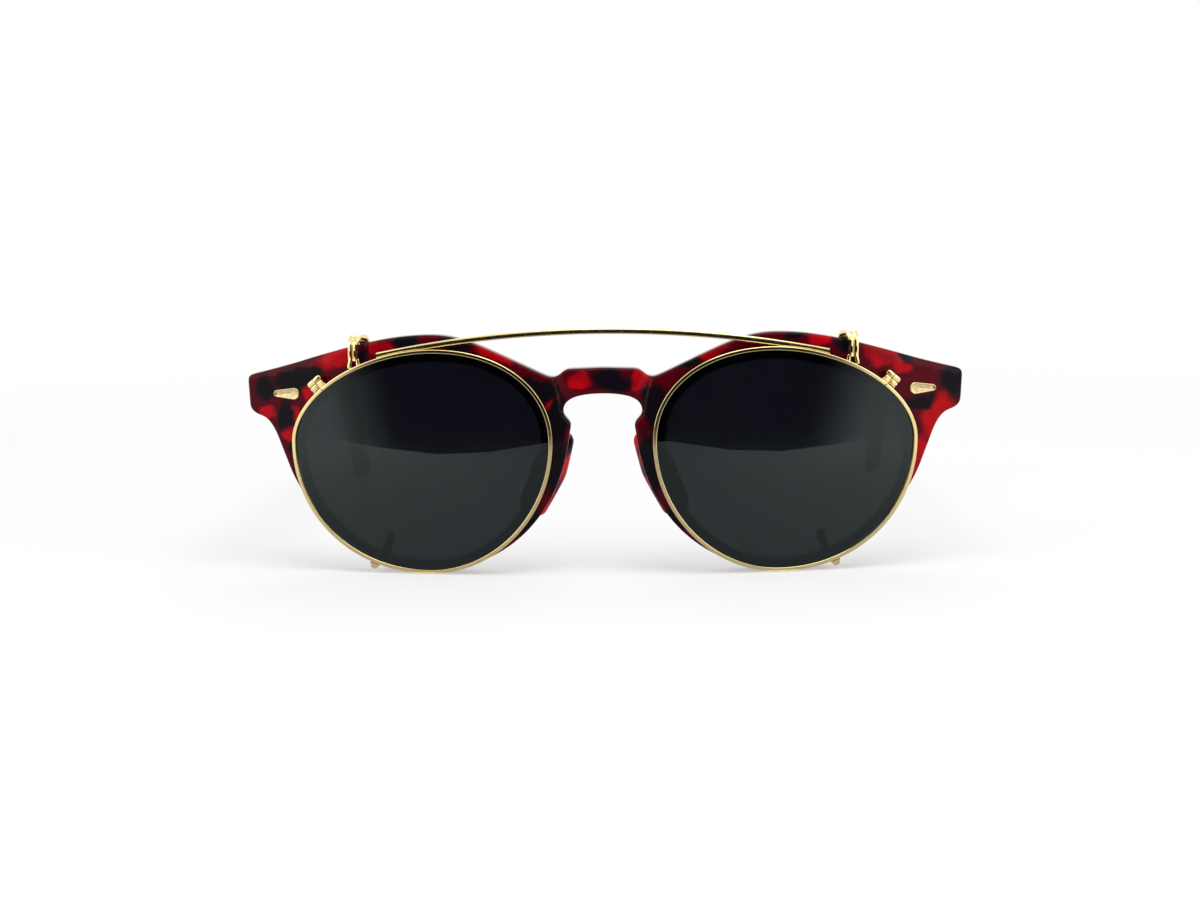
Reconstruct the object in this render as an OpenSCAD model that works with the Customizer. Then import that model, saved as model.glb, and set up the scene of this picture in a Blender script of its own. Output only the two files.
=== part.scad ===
// Round acetate spectacles with a metal sun clip hooked over the front.
// Millimetres. +X is the wearer's left, the front faces -Y, +Z is up.
// The outlines are drawn in the X-Z plane and cut from shells round one common sphere centre,
// so the acetate, its lenses, the sun lenses and their rims all share the same face curve.

/* [Spectacle front] */
// Overall width of the acetate front
frame_w = 142; // [134:1:156]
// Width of one lens opening
eye_w = 47; // [40:0.2:49]
// Height of one lens opening
eye_h = 39.3; // [32:0.1:44]
// Gap between the two lens openings
bridge_w = 24; // [20:0.5:27]
// Thickness of the acetate front
front_t = 4; // [3.2:0.2:5]
// Radius of the front's face curve
face_r = 210; // [180:5:260]
// Acetate above the lens opening at the brow
brow_rim = 5.2; // [4:0.2:7]
// Acetate below the lens opening
lower_rim = 1.8; // [1.6:0.1:4]
// Height of the end piece
end_h = 8.4; // [7:0.2:11]
// Height of the bridge over the keyhole
bridge_t = 5; // [4:0.2:7]
// Width of the keyhole under the bridge
keyhole_w = 15.3; // [13:0.1:17]
// Width of the neck below the keyhole
nose_w = 12.4; // [10:0.2:13]

/* [Lenses] */
// Thickness of the clear lens
demo_t = 1.6; // [1:0.1:2.4]
// Depth of the lens groove in the acetate
demo_groove = 0.5; // [0.3:0.1:0.8]
// Thickness of the sun lens
sun_t = 1.2; // [0.8:0.1:1.4]
// Depth of the lens groove in the metal rim
sun_groove = 0.35; // [0.2:0.05:0.5]
// Clearance round a lens edge in its groove
lens_gap = 0.03; // [0.02:0.01:0.08]

/* [Temples] */
// Distance from the joint to the start of the ear bend
bend_at = 92; // [80:1:105]
// Downward angle of the ear end
bend_angle = 42; // [35:1:50]
// Radius of the ear bend
bend_r = 30; // [20:1:40]
// Thickness of a temple
temple_t = 4; // [3.2:0.2:5]
// Height of a temple at its joint
temple_h = 7.8; // [6.4:0.2:9.6]
// Height of a temple just before the ear bend
temple_waist_h = 5.4; // [4.4:0.2:6.6]
// Height of the paddle at the temple's end
temple_tip_h = 6.8; // [5.4:0.2:8]
// Downward slope of the straight stretch
temple_slope = 1.3; // [0:0.1:3]
// Thickness of the steel core wire
core_t = 1.2; // [0.8:0.1:1.6]
// Height of the steel core wire
core_h = 1.8; // [1.2:0.1:2.4]

/* [Hinges] */
// Radius of the hinge barrel
barrel_r = 1.35; // [1.1:0.05:1.6]
// Height of one knuckle
knuckle_h = 1.25; // [1:0.05:1.4]
// Radius of the hinge screw
hinge_screw_r = 0.65; // [0.5:0.05:0.8]
// Radial clearance of the screw in the knuckles
screw_gap = 0.05; // [0.02:0.01:0.08]
// Thickness of a hinge leaf
leaf_t = 0.9; // [0.6:0.1:1.2]

/* [Sun clip] */
// Width of the metal rim seen from the front
rim_w = 0.75; // [0.6:0.05:1.2]
// Depth of the metal rim from front to back
rim_d = 1.8; // [1.6:0.1:2.2]
// Space between the acetate and the metal rim
clip_gap = 0.6; // [0.4:0.1:1]
// Height of the brow bar's section
bar_h = 1.1; // [0.9:0.05:1.5]
// Depth of the brow bar's section
bar_d = 1.1; // [0.8:0.1:1.5]
// Distance from the middle to the end of the brow bar
bar_reach = 44; // [42:0.5:46]
// Rise of the brow bar from its ends to its middle
bar_rise = 4.6; // [4:0.1:6]
// Width of a top hook
hook_w = 2.1; // [1.5:0.1:2.4]
// Metal thickness of hooks and claws
hook_t = 0.7; // [0.5:0.05:0.8]
// Width of a bottom claw
claw_w = 1.1; // [0.9:0.1:1.8]
// Length of the claw's tab behind the lens
claw_tab = 4.6; // [4:0.2:6]
// Wall of the soft sleeves
sleeve_t = 0.3; // [0.2:0.05:0.4]
// Reach of a rim lock beyond the rim
lock_h = 2.2; // [1.8:0.1:2.6]
// Length of a rim lock along the rim
lock_l = 3.2; // [2.6:0.1:3.8]
// Radius of the rim lock's screw
lock_screw_r = 0.4; // [0.3:0.05:0.5]

/* [Trim] */
// Length of the metal plaque on the end piece
plaque_l = 5.6; // [4.6:0.2:6.4]
// Largest height of the plaque
plaque_h = 2.35; // [1.8:0.05:2.8]
// Thickness of the plaque
plaque_t = 0.6; // [0.4:0.1:0.8]

/* [Hidden] */
$fn = 96;

// Heights are measured from the middle of the lens; lens_z lifts that middle above the table.
half_w = frame_w / 2;
nasal_x = bridge_w / 2;
temporal_x = nasal_x + eye_w;
crown_x = nasal_x + 0.447 * eye_w;
chin_x = nasal_x + 0.472 * eye_w;
wide_z = 3.8;
eye_top = eye_h / 2 - 0.25;
eye_bottom = -eye_h / 2 - 0.25;
brow_z = eye_top + brow_rim;
chin_z = eye_bottom - lower_rim;
key_z = brow_z - 11.4;
bridge_z = key_z + bridge_t;
end_top = brow_z - 8;
end_bottom = end_top - end_h;
end_mid = (end_top + end_bottom) / 2;

// How far the sun lens overlaps the acetate's lens opening on each side.
over_nasal = 1.6;
over_temporal = 1.65;
over_top = 1.8;
over_bottom = 1.3;
quadrant_power = [1.85, 2.15, 1.95, 2.1];
outline_steps = 16;

// Radii of the shells that share the sphere centre.
back_r = face_r - front_t;
demo_r = face_r - (front_t - demo_t) / 2;
clip_back_r = face_r + clip_gap;
clip_front_r = clip_back_r + rim_d;
sun_r = clip_back_r + (rim_d + sun_t) / 2;
bar_r = clip_back_r + (rim_d + bar_d) / 2;

lens_z = -(eye_bottom - over_bottom - rim_w);
temple_gap = 0.15;
temple_outer_x = half_w - 0.4;
temple_inner_x = temple_outer_x - temple_t;
temple_z = lens_z + end_mid;
hinge_x = temple_inner_x - barrel_r - 0.05;
hinge_rise = 3.3;
hinge_y = back_y(hinge_x, end_mid + hinge_rise) + barrel_r + 0.2;
joint_y = back_y(temple_inner_x, end_mid) + temple_gap;
core_gap = 0.05;

// The temple runs straight, turns down round the bend and ends when its paddle meets the table.
tip_r = temple_tip_h / 2;
ear_angle = bend_angle + temple_slope;
bend_drop = bend_r * (cos(temple_slope) - cos(ear_angle));
tip_drop = temple_z - tip_r - bend_at * sin(temple_slope) - bend_drop;
tip_l = tip_drop / sin(ear_angle);
bend_l = bend_r * bend_angle * PI / 180;
temple_l = bend_at + bend_l + tip_l;
tip_y = joint_y + temple_centre(temple_l)[0] + tip_r;
nasal_rim_x = nasal_x - over_nasal - rim_w;
front_y = face_r - sqrt(pow(clip_front_r, 2) - pow(nasal_rim_x, 2));
shift_y = -(tip_y + front_y) / 2;

function back_y(x, z) = face_r - sqrt(pow(back_r, 2) - x * x - z * z);

// Point at path length s along a temple's centre line: [distance back, height over the start].
function temple_centre(s) =
    s < bend_at
    ? [s * cos(temple_slope), -s * sin(temple_slope)]
    : s < bend_at + bend_l
    ? let (a = temple_slope + (s - bend_at) / bend_r * 180 / PI)
      temple_centre_at_bend() + bend_r * [sin(a) - sin(temple_slope), cos(a) - cos(temple_slope)]
    : temple_centre_at_bend()
      + bend_r * [sin(ear_angle) - sin(temple_slope), cos(ear_angle) - cos(temple_slope)]
      + (s - bend_at - bend_l) * [cos(ear_angle), -sin(ear_angle)];
function temple_centre_at_bend() = bend_at * [cos(temple_slope), -sin(temple_slope)];
function temple_heading(s) =
    temple_slope + min(max(s - bend_at, 0), bend_l) / bend_r * 180 / PI;

// Smooth change from 0 to 1 between two path lengths.
function ramp(s, from, to) = (1 - cos(180 * min(max((s - from) / (to - from), 0), 1))) / 2;
function temple_half_h(s) =
    (temple_h + (temple_waist_h - temple_h) * ramp(s, 4, bend_at)
    + (temple_tip_h - temple_waist_h) * ramp(s, bend_at, temple_l)) / 2;

function bezier(p, n = 8) = [
    for (i = [1:n]) let (t = i / n, u = 1 - t)
        u * u * u * p[0] + 3 * u * u * t * p[1] + 3 * u * t * t * p[2] + t * t * t * p[3]
];

// Oval of four quadrants between its outermost points, numbered from the temporal top onwards.
function oval_point(u, xn, xt, zt, zb) =
    let (
        turn = (u + 360) % 360,
        q = floor(turn / 90),
        t = [turn, 180 - turn, turn - 180, 360 - turn][q],
        side = (q == 0 || q == 3) ? xt : xn,
        middle = (q < 2) ? crown_x : chin_x,
        end = (q < 2) ? zt : zb,
        power = 2 / quadrant_power[q]
    )
    [middle + (side - middle) * pow(abs(cos(t)), power), wide_z + (end - wide_z) * pow(abs(sin(t)), power)];
function eye_point(u, grow) =
    oval_point(u, nasal_x - grow, temporal_x + grow, eye_top + grow, eye_bottom - grow);
function sun_point(u, grow) =
    oval_point(u, nasal_x - over_nasal - grow, temporal_x + over_temporal + grow,
               eye_top + over_top + grow, eye_bottom - over_bottom - grow);
function outline_angles() = [for (i = [0:4 * outline_steps - 1]) i * 90 / outline_steps];
// Turn at which the rim's outer edge reaches a distance x from the middle, in the top temporal quadrant.
function sun_turn(x) =
    acos(pow((x - crown_x) / (temporal_x + over_temporal + rim_w - crown_x), quadrant_power[0] / 2));
function sun_lean(u) =
    let (d = sun_point(u + 1, rim_w) - sun_point(u - 1, rim_w)) atan2(d[1], -d[0]);

// Half of the front's outline, from the top of the bridge round the end piece to the keyhole.
bridge_end = [nasal_x - 5.6, bridge_z - 0.2];
bridge_notch = [nasal_x - 2.6, bridge_z - 1.8];
brow_foot = [nasal_x, bridge_z - 1];
brow_start = [nasal_x + 6.5, bridge_z + 2];
brow_top = [crown_x + 0.5, brow_z];
brow_end = [temporal_x - 1, brow_z - 4.7];
corner_top = [half_w - 0.9, end_top];
corner_side = [half_w, end_top - 1.1];
corner_low = [half_w - 0.3, end_bottom + 2.4];
end_under = [half_w - 3.1, end_bottom + 0.1];
rim_side = [temporal_x + 5.4, end_bottom - 5];
rim_outer = [temporal_x + 3.5, end_bottom - 9.9];
chin = [chin_x, chin_z];
nose_neck = [nose_w / 2 + 0.2, key_z - 7.5];
nose_corner = [nose_w / 2 - 0.1, key_z - 6];
key_side = [keyhole_w / 2, key_z - 3.4];
key_top = [0, key_z];
// The lower curves' handles are shares of the height that each curve falls.
rim_handle = 0.425 * (rim_outer[1] - chin_z);
nose_handle = 0.6825 * (nose_neck[1] - chin_z);
front_half = concat(
    [[0, bridge_z], bridge_end],
    bezier([bridge_end, bridge_end + [1.4, -0.1], bridge_notch - [1.3, -0.1], bridge_notch]),
    bezier([bridge_notch, bridge_notch + [0.9, 0], brow_foot - [1, 0.45], brow_foot], 5),
    [brow_start],
    bezier([brow_start, brow_start + [5.5, 2.5], brow_top - [5.5, 0], brow_top], 10),
    bezier([brow_top, brow_top + [8.5, 0], brow_end - [8, -2.3], brow_end], 12),
    bezier([brow_end, brow_end + [3.8, -1.2], corner_top - [4.1, -1], corner_top], 6),
    bezier([corner_top, corner_top + [0.7, -0.2], corner_side + [0, 0.6], corner_side], 5),
    bezier([corner_low, corner_low - [0.1, 1.3], end_under + [1.6, 0.5], end_under], 6),
    bezier([end_under, end_under - [1.6, 0.6], rim_side + [0.8, 2.2], rim_side], 8),
    bezier([rim_outer, rim_outer - [3.3, rim_handle], chin + [14.2, 0], chin], 18),
    bezier([chin, chin - [12.3, 0], nose_neck + [2.1, -nose_handle], nose_neck], 18),
    [nose_corner],
    bezier([nose_corner, nose_corner + [0.3, 1.2], key_side - [0, 1.2], key_side], 6),
    bezier([key_side, key_side + [0, 2.8], key_top + [keyhole_w / 4, 0], key_top], 10)
);

module ball(r) {
    translate([0, face_r, 0]) sphere(r, $fn = 192);
}

module shell(outer, inner) {
    difference() {
        ball(outer);
        ball(inner);
    }
}

// Stands a flat outline up in the X-Z plane, deep enough to pass through every shell.
upright_back = 60;
upright_depth = 80;
module upright() {
    translate([0, upright_back, 0]) rotate([90, 0, 0]) linear_extrude(upright_depth) children();
}

// Puts the children's origin on a sphere of radius r, with -Y along the outward normal.
module on_face(p, r, lean = 0) {
    tilt = asin(p[1] / r);
    turn = asin(p[0] / (r * cos(tilt)));
    translate([0, face_r, 0])
        rotate([0, 0, turn])
            rotate([-tilt, 0, 0])
                rotate([0, lean, 0])
                    translate([0, -r, 0]) children();
}

// Moves from the lens's own height to the table's, and to the middle of the whole object's depth.
module placed() {
    translate([0, shift_y, lens_z]) children();
}

module eye_outline(grow) {
    polygon([for (u = outline_angles()) eye_point(u, grow)]);
}

module sun_outline(grow) {
    polygon([for (u = outline_angles()) sun_point(u, grow)]);
}

// Two different circles joined by their outer tangents, lying along X from the larger to the smaller.
module tear(length, r1, r2) {
    run = length - r1 - r2;
    lean = acos((r1 - r2) / run);
    polygon(concat(
        [for (i = [0:16]) let (a = lean + i * (360 - 2 * lean) / 16) r1 * [cos(a), sin(a)]],
        [for (i = [0:8]) let (a = -lean + i * 2 * lean / 8) [run, 0] + r2 * [cos(a), sin(a)]]
    ));
}

plaque_r = plaque_h / 2;
plaque_tip_r = 0.7;
plaque_x = half_w - 11 + plaque_r;
plaque_at = [plaque_x, end_mid + 0.5];
plaque_sink = 0.3;
plaque_pin_r = 0.45;
plaque_pin_l = 1.6;
plaque_pins = [0, plaque_l - 2 * plaque_r - 0.6];

module plaque_shape(gap) {
    on_face(plaque_at, face_r) {
        translate([0, plaque_sink, 0]) rotate([90, 0, 0])
            linear_extrude(plaque_t) offset_tear(gap);
        for (x = plaque_pins)
            translate([x, plaque_sink + plaque_pin_l, 0]) rotate([90, 0, 0])
                cylinder(r = plaque_pin_r + gap, h = plaque_pin_l + 0.2);
    }
}

module offset_tear(gap) {
    tear(plaque_l + 2 * gap, plaque_r + gap, plaque_tip_r + gap);
}

leaf_l = 4.8;
leaf_h = 6.6;
leaf_sink = leaf_t - 0.1;
front_leaf_x = hinge_x - 2.2;

module front_leaf(gap) {
    on_face([front_leaf_x, end_mid], back_r)
        translate([-leaf_l / 2 - gap, -leaf_sink - gap, -leaf_h / 2 - gap])
            cube([leaf_l + 2 * gap, leaf_t + gap, leaf_h + 2 * gap]);
}

module front() {
    color("firebrick") placed() difference() {
        intersection() {
            upright() polygon(concat(
                front_half,
                [for (i = [len(front_half) - 2:-1:1]) [-front_half[i][0], front_half[i][1]]]
            ));
            shell(face_r, back_r);
        }
        for (side = [0, 1]) mirror([side, 0, 0]) {
            upright() eye_outline(0);
            intersection() {
                upright() eye_outline(demo_groove + lens_gap);
                shell(demo_r + lens_gap, demo_r - demo_t - lens_gap);
            }
            plaque_shape(0.03);
            front_leaf(0.03);
        }
    }
}

// Pad bonded to the back of the front, facing the side of the nose.
pad_spheres = [[-3.4, 5, 3.2, 2.3], [-1.7, 7.4, -3, 2.5], [1.8, 6, -9.4, 2.3], [0, 2, -1, 2.2], [3, 2, -8, 2]];

module nose_pad() {
    color("darkred") placed() intersection() {
        hull() for (s = pad_spheres)
            translate([nasal_x + s[0], front_t + s[1] - 2, s[2]]) sphere(s[3], $fn = 28);
        ball(back_r);
    }
}

module demo_lens() {
    color("white", 0.3) placed() intersection() {
        upright() eye_outline(demo_groove);
        shell(demo_r, demo_r - demo_t);
    }
}

module front_plaque() {
    color("gold") placed() plaque_shape(0);
}

// Hinge knuckles are numbered from the bottom: the front holds 0, 2 and 4, the temple 1 and 3.
knuckle_gap = 0.06;
knuckle_pitch = knuckle_h + knuckle_gap;
barrel_h = 5 * knuckle_h + 4 * knuckle_gap;

module at_hinge() {
    translate([hinge_x, hinge_y, end_mid - barrel_h / 2]) children();
}

module knuckles(which, neck) {
    at_hinge() difference() {
        for (i = which) translate([0, 0, i * knuckle_pitch]) {
            cylinder(r = barrel_r, h = knuckle_h);
            translate(neck[0]) cube(concat(neck[1], knuckle_h));
        }
        translate([0, 0, -1]) cylinder(r = hinge_screw_r + screw_gap, h = barrel_h + 2);
    }
}

module front_hinge() {
    color("silver") placed() {
        front_leaf(0);
        knuckles([0, 2, 4], [[-1.1, -barrel_r - 0.6, 0], [1.2, barrel_r + 0.6]]);
    }
}

temple_leaf_l = 6.4;
temple_leaf_start = 1;

module temple_leaf(gap) {
    translate([temple_inner_x - 0.1, hinge_y + temple_leaf_start - gap, end_mid - leaf_h / 2 - gap])
        cube([leaf_t + gap, temple_leaf_l + 2 * gap, leaf_h + 2 * gap]);
}

module temple_hinge() {
    color("silver") placed() {
        temple_leaf(0);
        knuckles([1, 3], [[0, -0.6, 0], [barrel_r, 3]]);
    }
}

screw_head_r = 1.05;
screw_head_h = 0.5;

module hinge_screw() {
    color("silver") placed() at_hinge() difference() {
        union() {
            translate([0, 0, -0.3]) cylinder(r = hinge_screw_r, h = barrel_h + 0.3);
            translate([0, 0, barrel_h]) cylinder(r = screw_head_r, h = screw_head_h);
        }
        translate([-2, -0.15, barrel_h + screw_head_h - 0.25]) cube([4, 0.3, 1]);
    }
}

// Flat band along the temple's centre line between two path lengths, with a half height h(s).
module temple_band(from, to, half_h, thick, round_end) {
    steps = 44;
    path = [for (i = [0:steps]) from + (to - from) * i / steps];
    function edge(s, side) =
        temple_centre(s) + side * (half_h > 0 ? half_h : temple_half_h(s))
        * [sin(temple_heading(s)), cos(temple_heading(s))];
    end = temple_centre(to);
    end_r = half_h > 0 ? half_h : temple_half_h(to);
    heading = temple_heading(to);
    rotate([90, 0, 90]) linear_extrude(thick, center = true) polygon(concat(
        [for (s = path) edge(s, 1)],
        round_end
        ? [for (i = [1:11]) let (a = 90 - heading - i * 15) end + end_r * [cos(a), sin(a)]]
        : [],
        [for (i = [steps:-1:0]) edge(path[i], -1)]
    ));
}

core_end = temple_l - 12;

module at_temple() {
    translate([temple_outer_x - temple_t / 2, joint_y, end_mid]) children();
}

module temple() {
    color("firebrick") placed() difference() {
        intersection() {
            at_temple() temple_band(-4, temple_l, 0, temple_t, true);
            ball(back_r - temple_gap);
        }
        at_temple()
            temple_band(-5, core_end + core_gap, core_h / 2 + core_gap, core_t + 2 * core_gap, false);
        temple_leaf(0.03);
    }
}

module temple_core() {
    color("lightgray") placed() at_temple()
        temple_band(2, core_end, core_h / 2, core_t, false);
}

// The hooks stand a little past the bar's ends, and each rim lock past its hook.
hook_past_bar = 4.2;
hook_turn = sun_turn(bar_reach + hook_past_bar);
lock_turn = hook_turn - 19;
claw_turn = 292;
claw_lean = sun_lean(claw_turn) + 1.5;
split_w = 0.2;
lock_at = sun_point(lock_turn, rim_w);
hook_at = sun_point(hook_turn, rim_w);
claw_at = sun_point(claw_turn, rim_w);

module clip_rim() {
    color("gold") placed() difference() {
        intersection() {
            upright() difference() {
                sun_outline(rim_w);
                sun_outline(0);
            }
            shell(clip_front_r, clip_back_r);
        }
        intersection() {
            upright() sun_outline(sun_groove + lens_gap);
            shell(sun_r + lens_gap, sun_r - sun_t - lens_gap);
        }
        on_face(lock_at, clip_front_r, sun_lean(lock_turn)) cube([split_w, 8, 3], center = true);
    }
}

module clip_lens() {
    color("darkslategray") placed() intersection() {
        upright() sun_outline(sun_groove);
        shell(sun_r, sun_r - sun_t);
    }
}

// The bar's ends rest on the rims, and the bar is let in by no more than its seat where it crosses them.
bar_mid_z = sun_point(sun_turn(bar_reach), rim_w)[1] + bar_h / 2 + bar_rise;
bar_seat = 0.3;
bar_steps = 48;
function rim_top(x) = x > crown_x ? sun_point(sun_turn(x), rim_w)[1] : eye_top + over_top + rim_w;
function bar_z(x) = max(
    bar_mid_z - bar_rise * pow(x / bar_reach, 2),
    rim_top(abs(x)) - bar_seat + bar_h / 2
);

module brow_bar() {
    color("gold") placed() difference() {
        intersection() {
            upright() polygon(concat(
                [for (i = [-bar_steps:bar_steps]) let (x = i * bar_reach / bar_steps) [x, bar_z(x) + bar_h / 2]],
                [for (i = [bar_steps:-1:-bar_steps]) let (x = i * bar_reach / bar_steps) [x, bar_z(x) - bar_h / 2]]
            ));
            shell(bar_r, bar_r - bar_d);
        }
        for (side = [0, 1]) mirror([side, 0, 0]) upright() sun_outline(rim_w);
    }
}

// A hook leaves the rim, passes over the acetate's top edge and comes down behind it.
hook_front = -clip_gap - 0.3 - hook_t;
hook_back = front_t + 0.35 + sleeve_t + hook_t;
hook_bend_r = 1.6;
hook_foot_z = -2.2;
brow_at_hook_z = brow_z - 2;
hook_top_z = brow_at_hook_z - hook_at[1] + 1.4;
hook_tail_z = hook_top_z - 4.2;

// Side view of a block with a rounded top, shrunk by an inset on its sides and top.
module arch(inset) {
    bend = hook_bend_r + hook_t - inset;
    left = hook_front + inset;
    right = hook_back - inset;
    top = hook_top_z + hook_t - inset;
    translate([left, hook_foot_z]) square([right - left, top - bend - hook_foot_z]);
    translate([left + bend, hook_foot_z]) square([right - left - 2 * bend, top - hook_foot_z]);
    for (y = [left + bend, right - bend]) translate([y, top - bend]) circle(bend);
}

module hook_side() {
    difference() {
        arch(0);
        arch(hook_t);
        translate([hook_front + hook_t, hook_foot_z - 1])
            square([20, hook_tail_z - hook_foot_z + 1]);
    }
}

module hook_tail(grow, top) {
    translate([hook_back - hook_t - grow, hook_tail_z - grow])
        square([hook_t + 2 * grow, hook_top_z - hook_bend_r - hook_tail_z + grow + top]);
}

module across(w) {
    rotate([90, 0, 90]) linear_extrude(w, center = true) children();
}

module top_hook() {
    color("gold") placed() difference() {
        on_face(hook_at, face_r) difference() {
            union() {
                across(hook_w) hook_side();
                translate([0, hook_front + hook_t / 2, -0.6]) cube([hook_w + 0.9, hook_t, 1.3], center = true);
            }
            for (x = [-0.42, 0.42])
                translate([x, hook_front, 1.9]) cube([0.36, 3 * hook_t, 1.9], center = true);
        }
        upright() sun_outline(rim_w);
    }
}

module top_sleeve() {
    color("dimgray") placed() on_face(hook_at, face_r) difference() {
        across(hook_w + 2 * sleeve_t) hook_tail(sleeve_t, 0);
        across(hook_w) hook_tail(0, 0.6);
    }
}

// A claw leaves the rim's lower edge, passes under the acetate and turns up behind the lens.
claw_back = front_t + 0.35 + sleeve_t;
claw_under = 0.35;
claw_start = -clip_gap - rim_d + 0.2;

module claw_side() {
    translate([claw_start, claw_under]) square([claw_back + hook_t - claw_start, hook_t]);
    claw_tail(0, 0);
}

module claw_tail(grow, top) {
    translate([claw_back - grow, -claw_tab - grow])
        square([hook_t + 2 * grow, claw_tab + claw_under + grow + top]);
}

module at_claw() {
    on_face(claw_at, face_r, claw_lean) children();
}

module bottom_claw() {
    color("gold") placed() difference() {
        at_claw() {
            across(claw_w) claw_side();
            translate([0, -clip_gap - rim_d / 2, 0.2]) cube([claw_w + 1, rim_d - 0.4, 1], center = true);
        }
        intersection() {
            upright() sun_outline(rim_w);
            shell(clip_front_r + 2, clip_back_r - 0.1);
        }
    }
}

module bottom_sleeve() {
    color("dimgray") placed() at_claw() difference() {
        across(claw_w + 2 * sleeve_t) claw_tail(sleeve_t, -0.8);
        across(claw_w) claw_tail(0, 0);
    }
}

// Each rim lock is a pair of half blocks, one on either side of the rim's split.
lock_neck = 1.1;
lock_cap = 0.75;
lock_d = rim_d + 0.2;

module at_lock() {
    on_face(lock_at, clip_back_r + rim_d / 2, sun_lean(lock_turn)) children();
}

module lock_half() {
    translate([split_w / 2, -lock_d / 2, -0.5]) cube([lock_neck, lock_d, lock_h + 0.5]);
    translate([split_w / 2, -lock_d / 2, lock_h - lock_cap])
        cube([lock_l / 2 - split_w / 2, lock_d, lock_cap]);
}

lock_screw_z = 0.72;

module rim_lock() {
    color("gold") placed() difference() {
        at_lock() difference() {
            for (side = [0, 1]) mirror([side, 0, 0]) lock_half();
            translate([-5, 0, lock_screw_z]) rotate([0, 90, 0]) cylinder(r = lock_screw_r + screw_gap, h = 10);
        }
        upright() sun_outline(rim_w);
    }
}

module rim_lock_screw() {
    shank = 2 * lock_neck + split_w + 0.2;
    color("silver") placed() at_lock() translate([0, 0, lock_screw_z]) rotate([0, 90, 0]) {
        translate([0, 0, -shank / 2]) cylinder(r = lock_screw_r, h = shank);
        translate([0, 0, shank / 2 - 0.1]) cylinder(r = lock_screw_r + 0.25, h = 0.4);
    }
}

// The wearer's left is +X; each right-hand piece is its mirror image.
module right() {
    mirror([1, 0, 0]) children();
}

front();
nose_pad();  // nose_pad_left
right() nose_pad();  // nose_pad_right
demo_lens();  // demo_lens_left
right() demo_lens();  // demo_lens_right
front_plaque();  // front_plaque_left
right() front_plaque();  // front_plaque_right
front_hinge();  // front_hinge_left
right() front_hinge();  // front_hinge_right
hinge_screw();  // hinge_screw_left
right() hinge_screw();  // hinge_screw_right
temple();  // temple_left
right() temple();  // temple_right
temple_core();  // temple_core_left
right() temple_core();  // temple_core_right
temple_hinge();  // temple_hinge_left
right() temple_hinge();  // temple_hinge_right
clip_rim();  // clip_rim_left
right() clip_rim();  // clip_rim_right
clip_lens();  // clip_lens_left
right() clip_lens();  // clip_lens_right
brow_bar();
top_hook();  // top_hook_left
right() top_hook();  // top_hook_right
top_sleeve();  // top_sleeve_left
right() top_sleeve();  // top_sleeve_right
bottom_claw();  // bottom_claw_left
right() bottom_claw();  // bottom_claw_right
bottom_sleeve();  // bottom_sleeve_left
right() bottom_sleeve();  // bottom_sleeve_right
rim_lock();  // rim_lock_left
right() rim_lock();  // rim_lock_right
rim_lock_screw();  // rim_lock_screw_left
right() rim_lock_screw();  // rim_lock_screw_right
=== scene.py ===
import math
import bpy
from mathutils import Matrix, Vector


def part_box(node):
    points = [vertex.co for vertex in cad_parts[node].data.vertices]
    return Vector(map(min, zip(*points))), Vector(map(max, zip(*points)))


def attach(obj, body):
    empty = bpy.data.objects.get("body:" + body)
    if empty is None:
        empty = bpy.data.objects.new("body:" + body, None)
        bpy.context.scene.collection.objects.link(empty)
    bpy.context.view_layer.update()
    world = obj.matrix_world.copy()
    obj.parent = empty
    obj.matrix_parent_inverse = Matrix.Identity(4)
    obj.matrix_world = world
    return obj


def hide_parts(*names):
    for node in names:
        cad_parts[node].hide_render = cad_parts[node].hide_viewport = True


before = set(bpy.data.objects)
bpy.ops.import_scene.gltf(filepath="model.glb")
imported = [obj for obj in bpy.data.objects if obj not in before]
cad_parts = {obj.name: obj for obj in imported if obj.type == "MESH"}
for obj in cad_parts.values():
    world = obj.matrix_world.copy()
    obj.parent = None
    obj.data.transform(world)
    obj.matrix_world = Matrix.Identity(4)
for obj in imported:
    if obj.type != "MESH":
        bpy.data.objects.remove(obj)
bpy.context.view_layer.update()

from types import SimpleNamespace

import bmesh
import bpy
import numpy as np
from bpy.props import FloatProperty, FloatVectorProperty, PointerProperty
from mathutils import Matrix, Vector
from mathutils.geometry import delaunay_2d_cdt

bl_info = {
    "name": "Clip-on sunglasses",
    "version": (1, 0, 0),
    "blender": (4, 5, 0),
    "location": "3D View > Sidebar > Spectacles",
    "description": "Round tortoise spectacles with a gold sun clip, built on a fixed frame",
    "category": "Add Mesh",
}

MM = 0.001


# ---------------------------------------------------------------- settings

def length(name, description, value):
    """A length setting, stored in metres from a default in millimetres."""
    return FloatProperty(name=name, description=description, default=value * MM, unit="LENGTH", precision=5)


def colour(name, description, value):
    return FloatVectorProperty(
        name=name, description=description, default=value, size=3, min=0, max=1, subtype="COLOR"
    )


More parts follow.
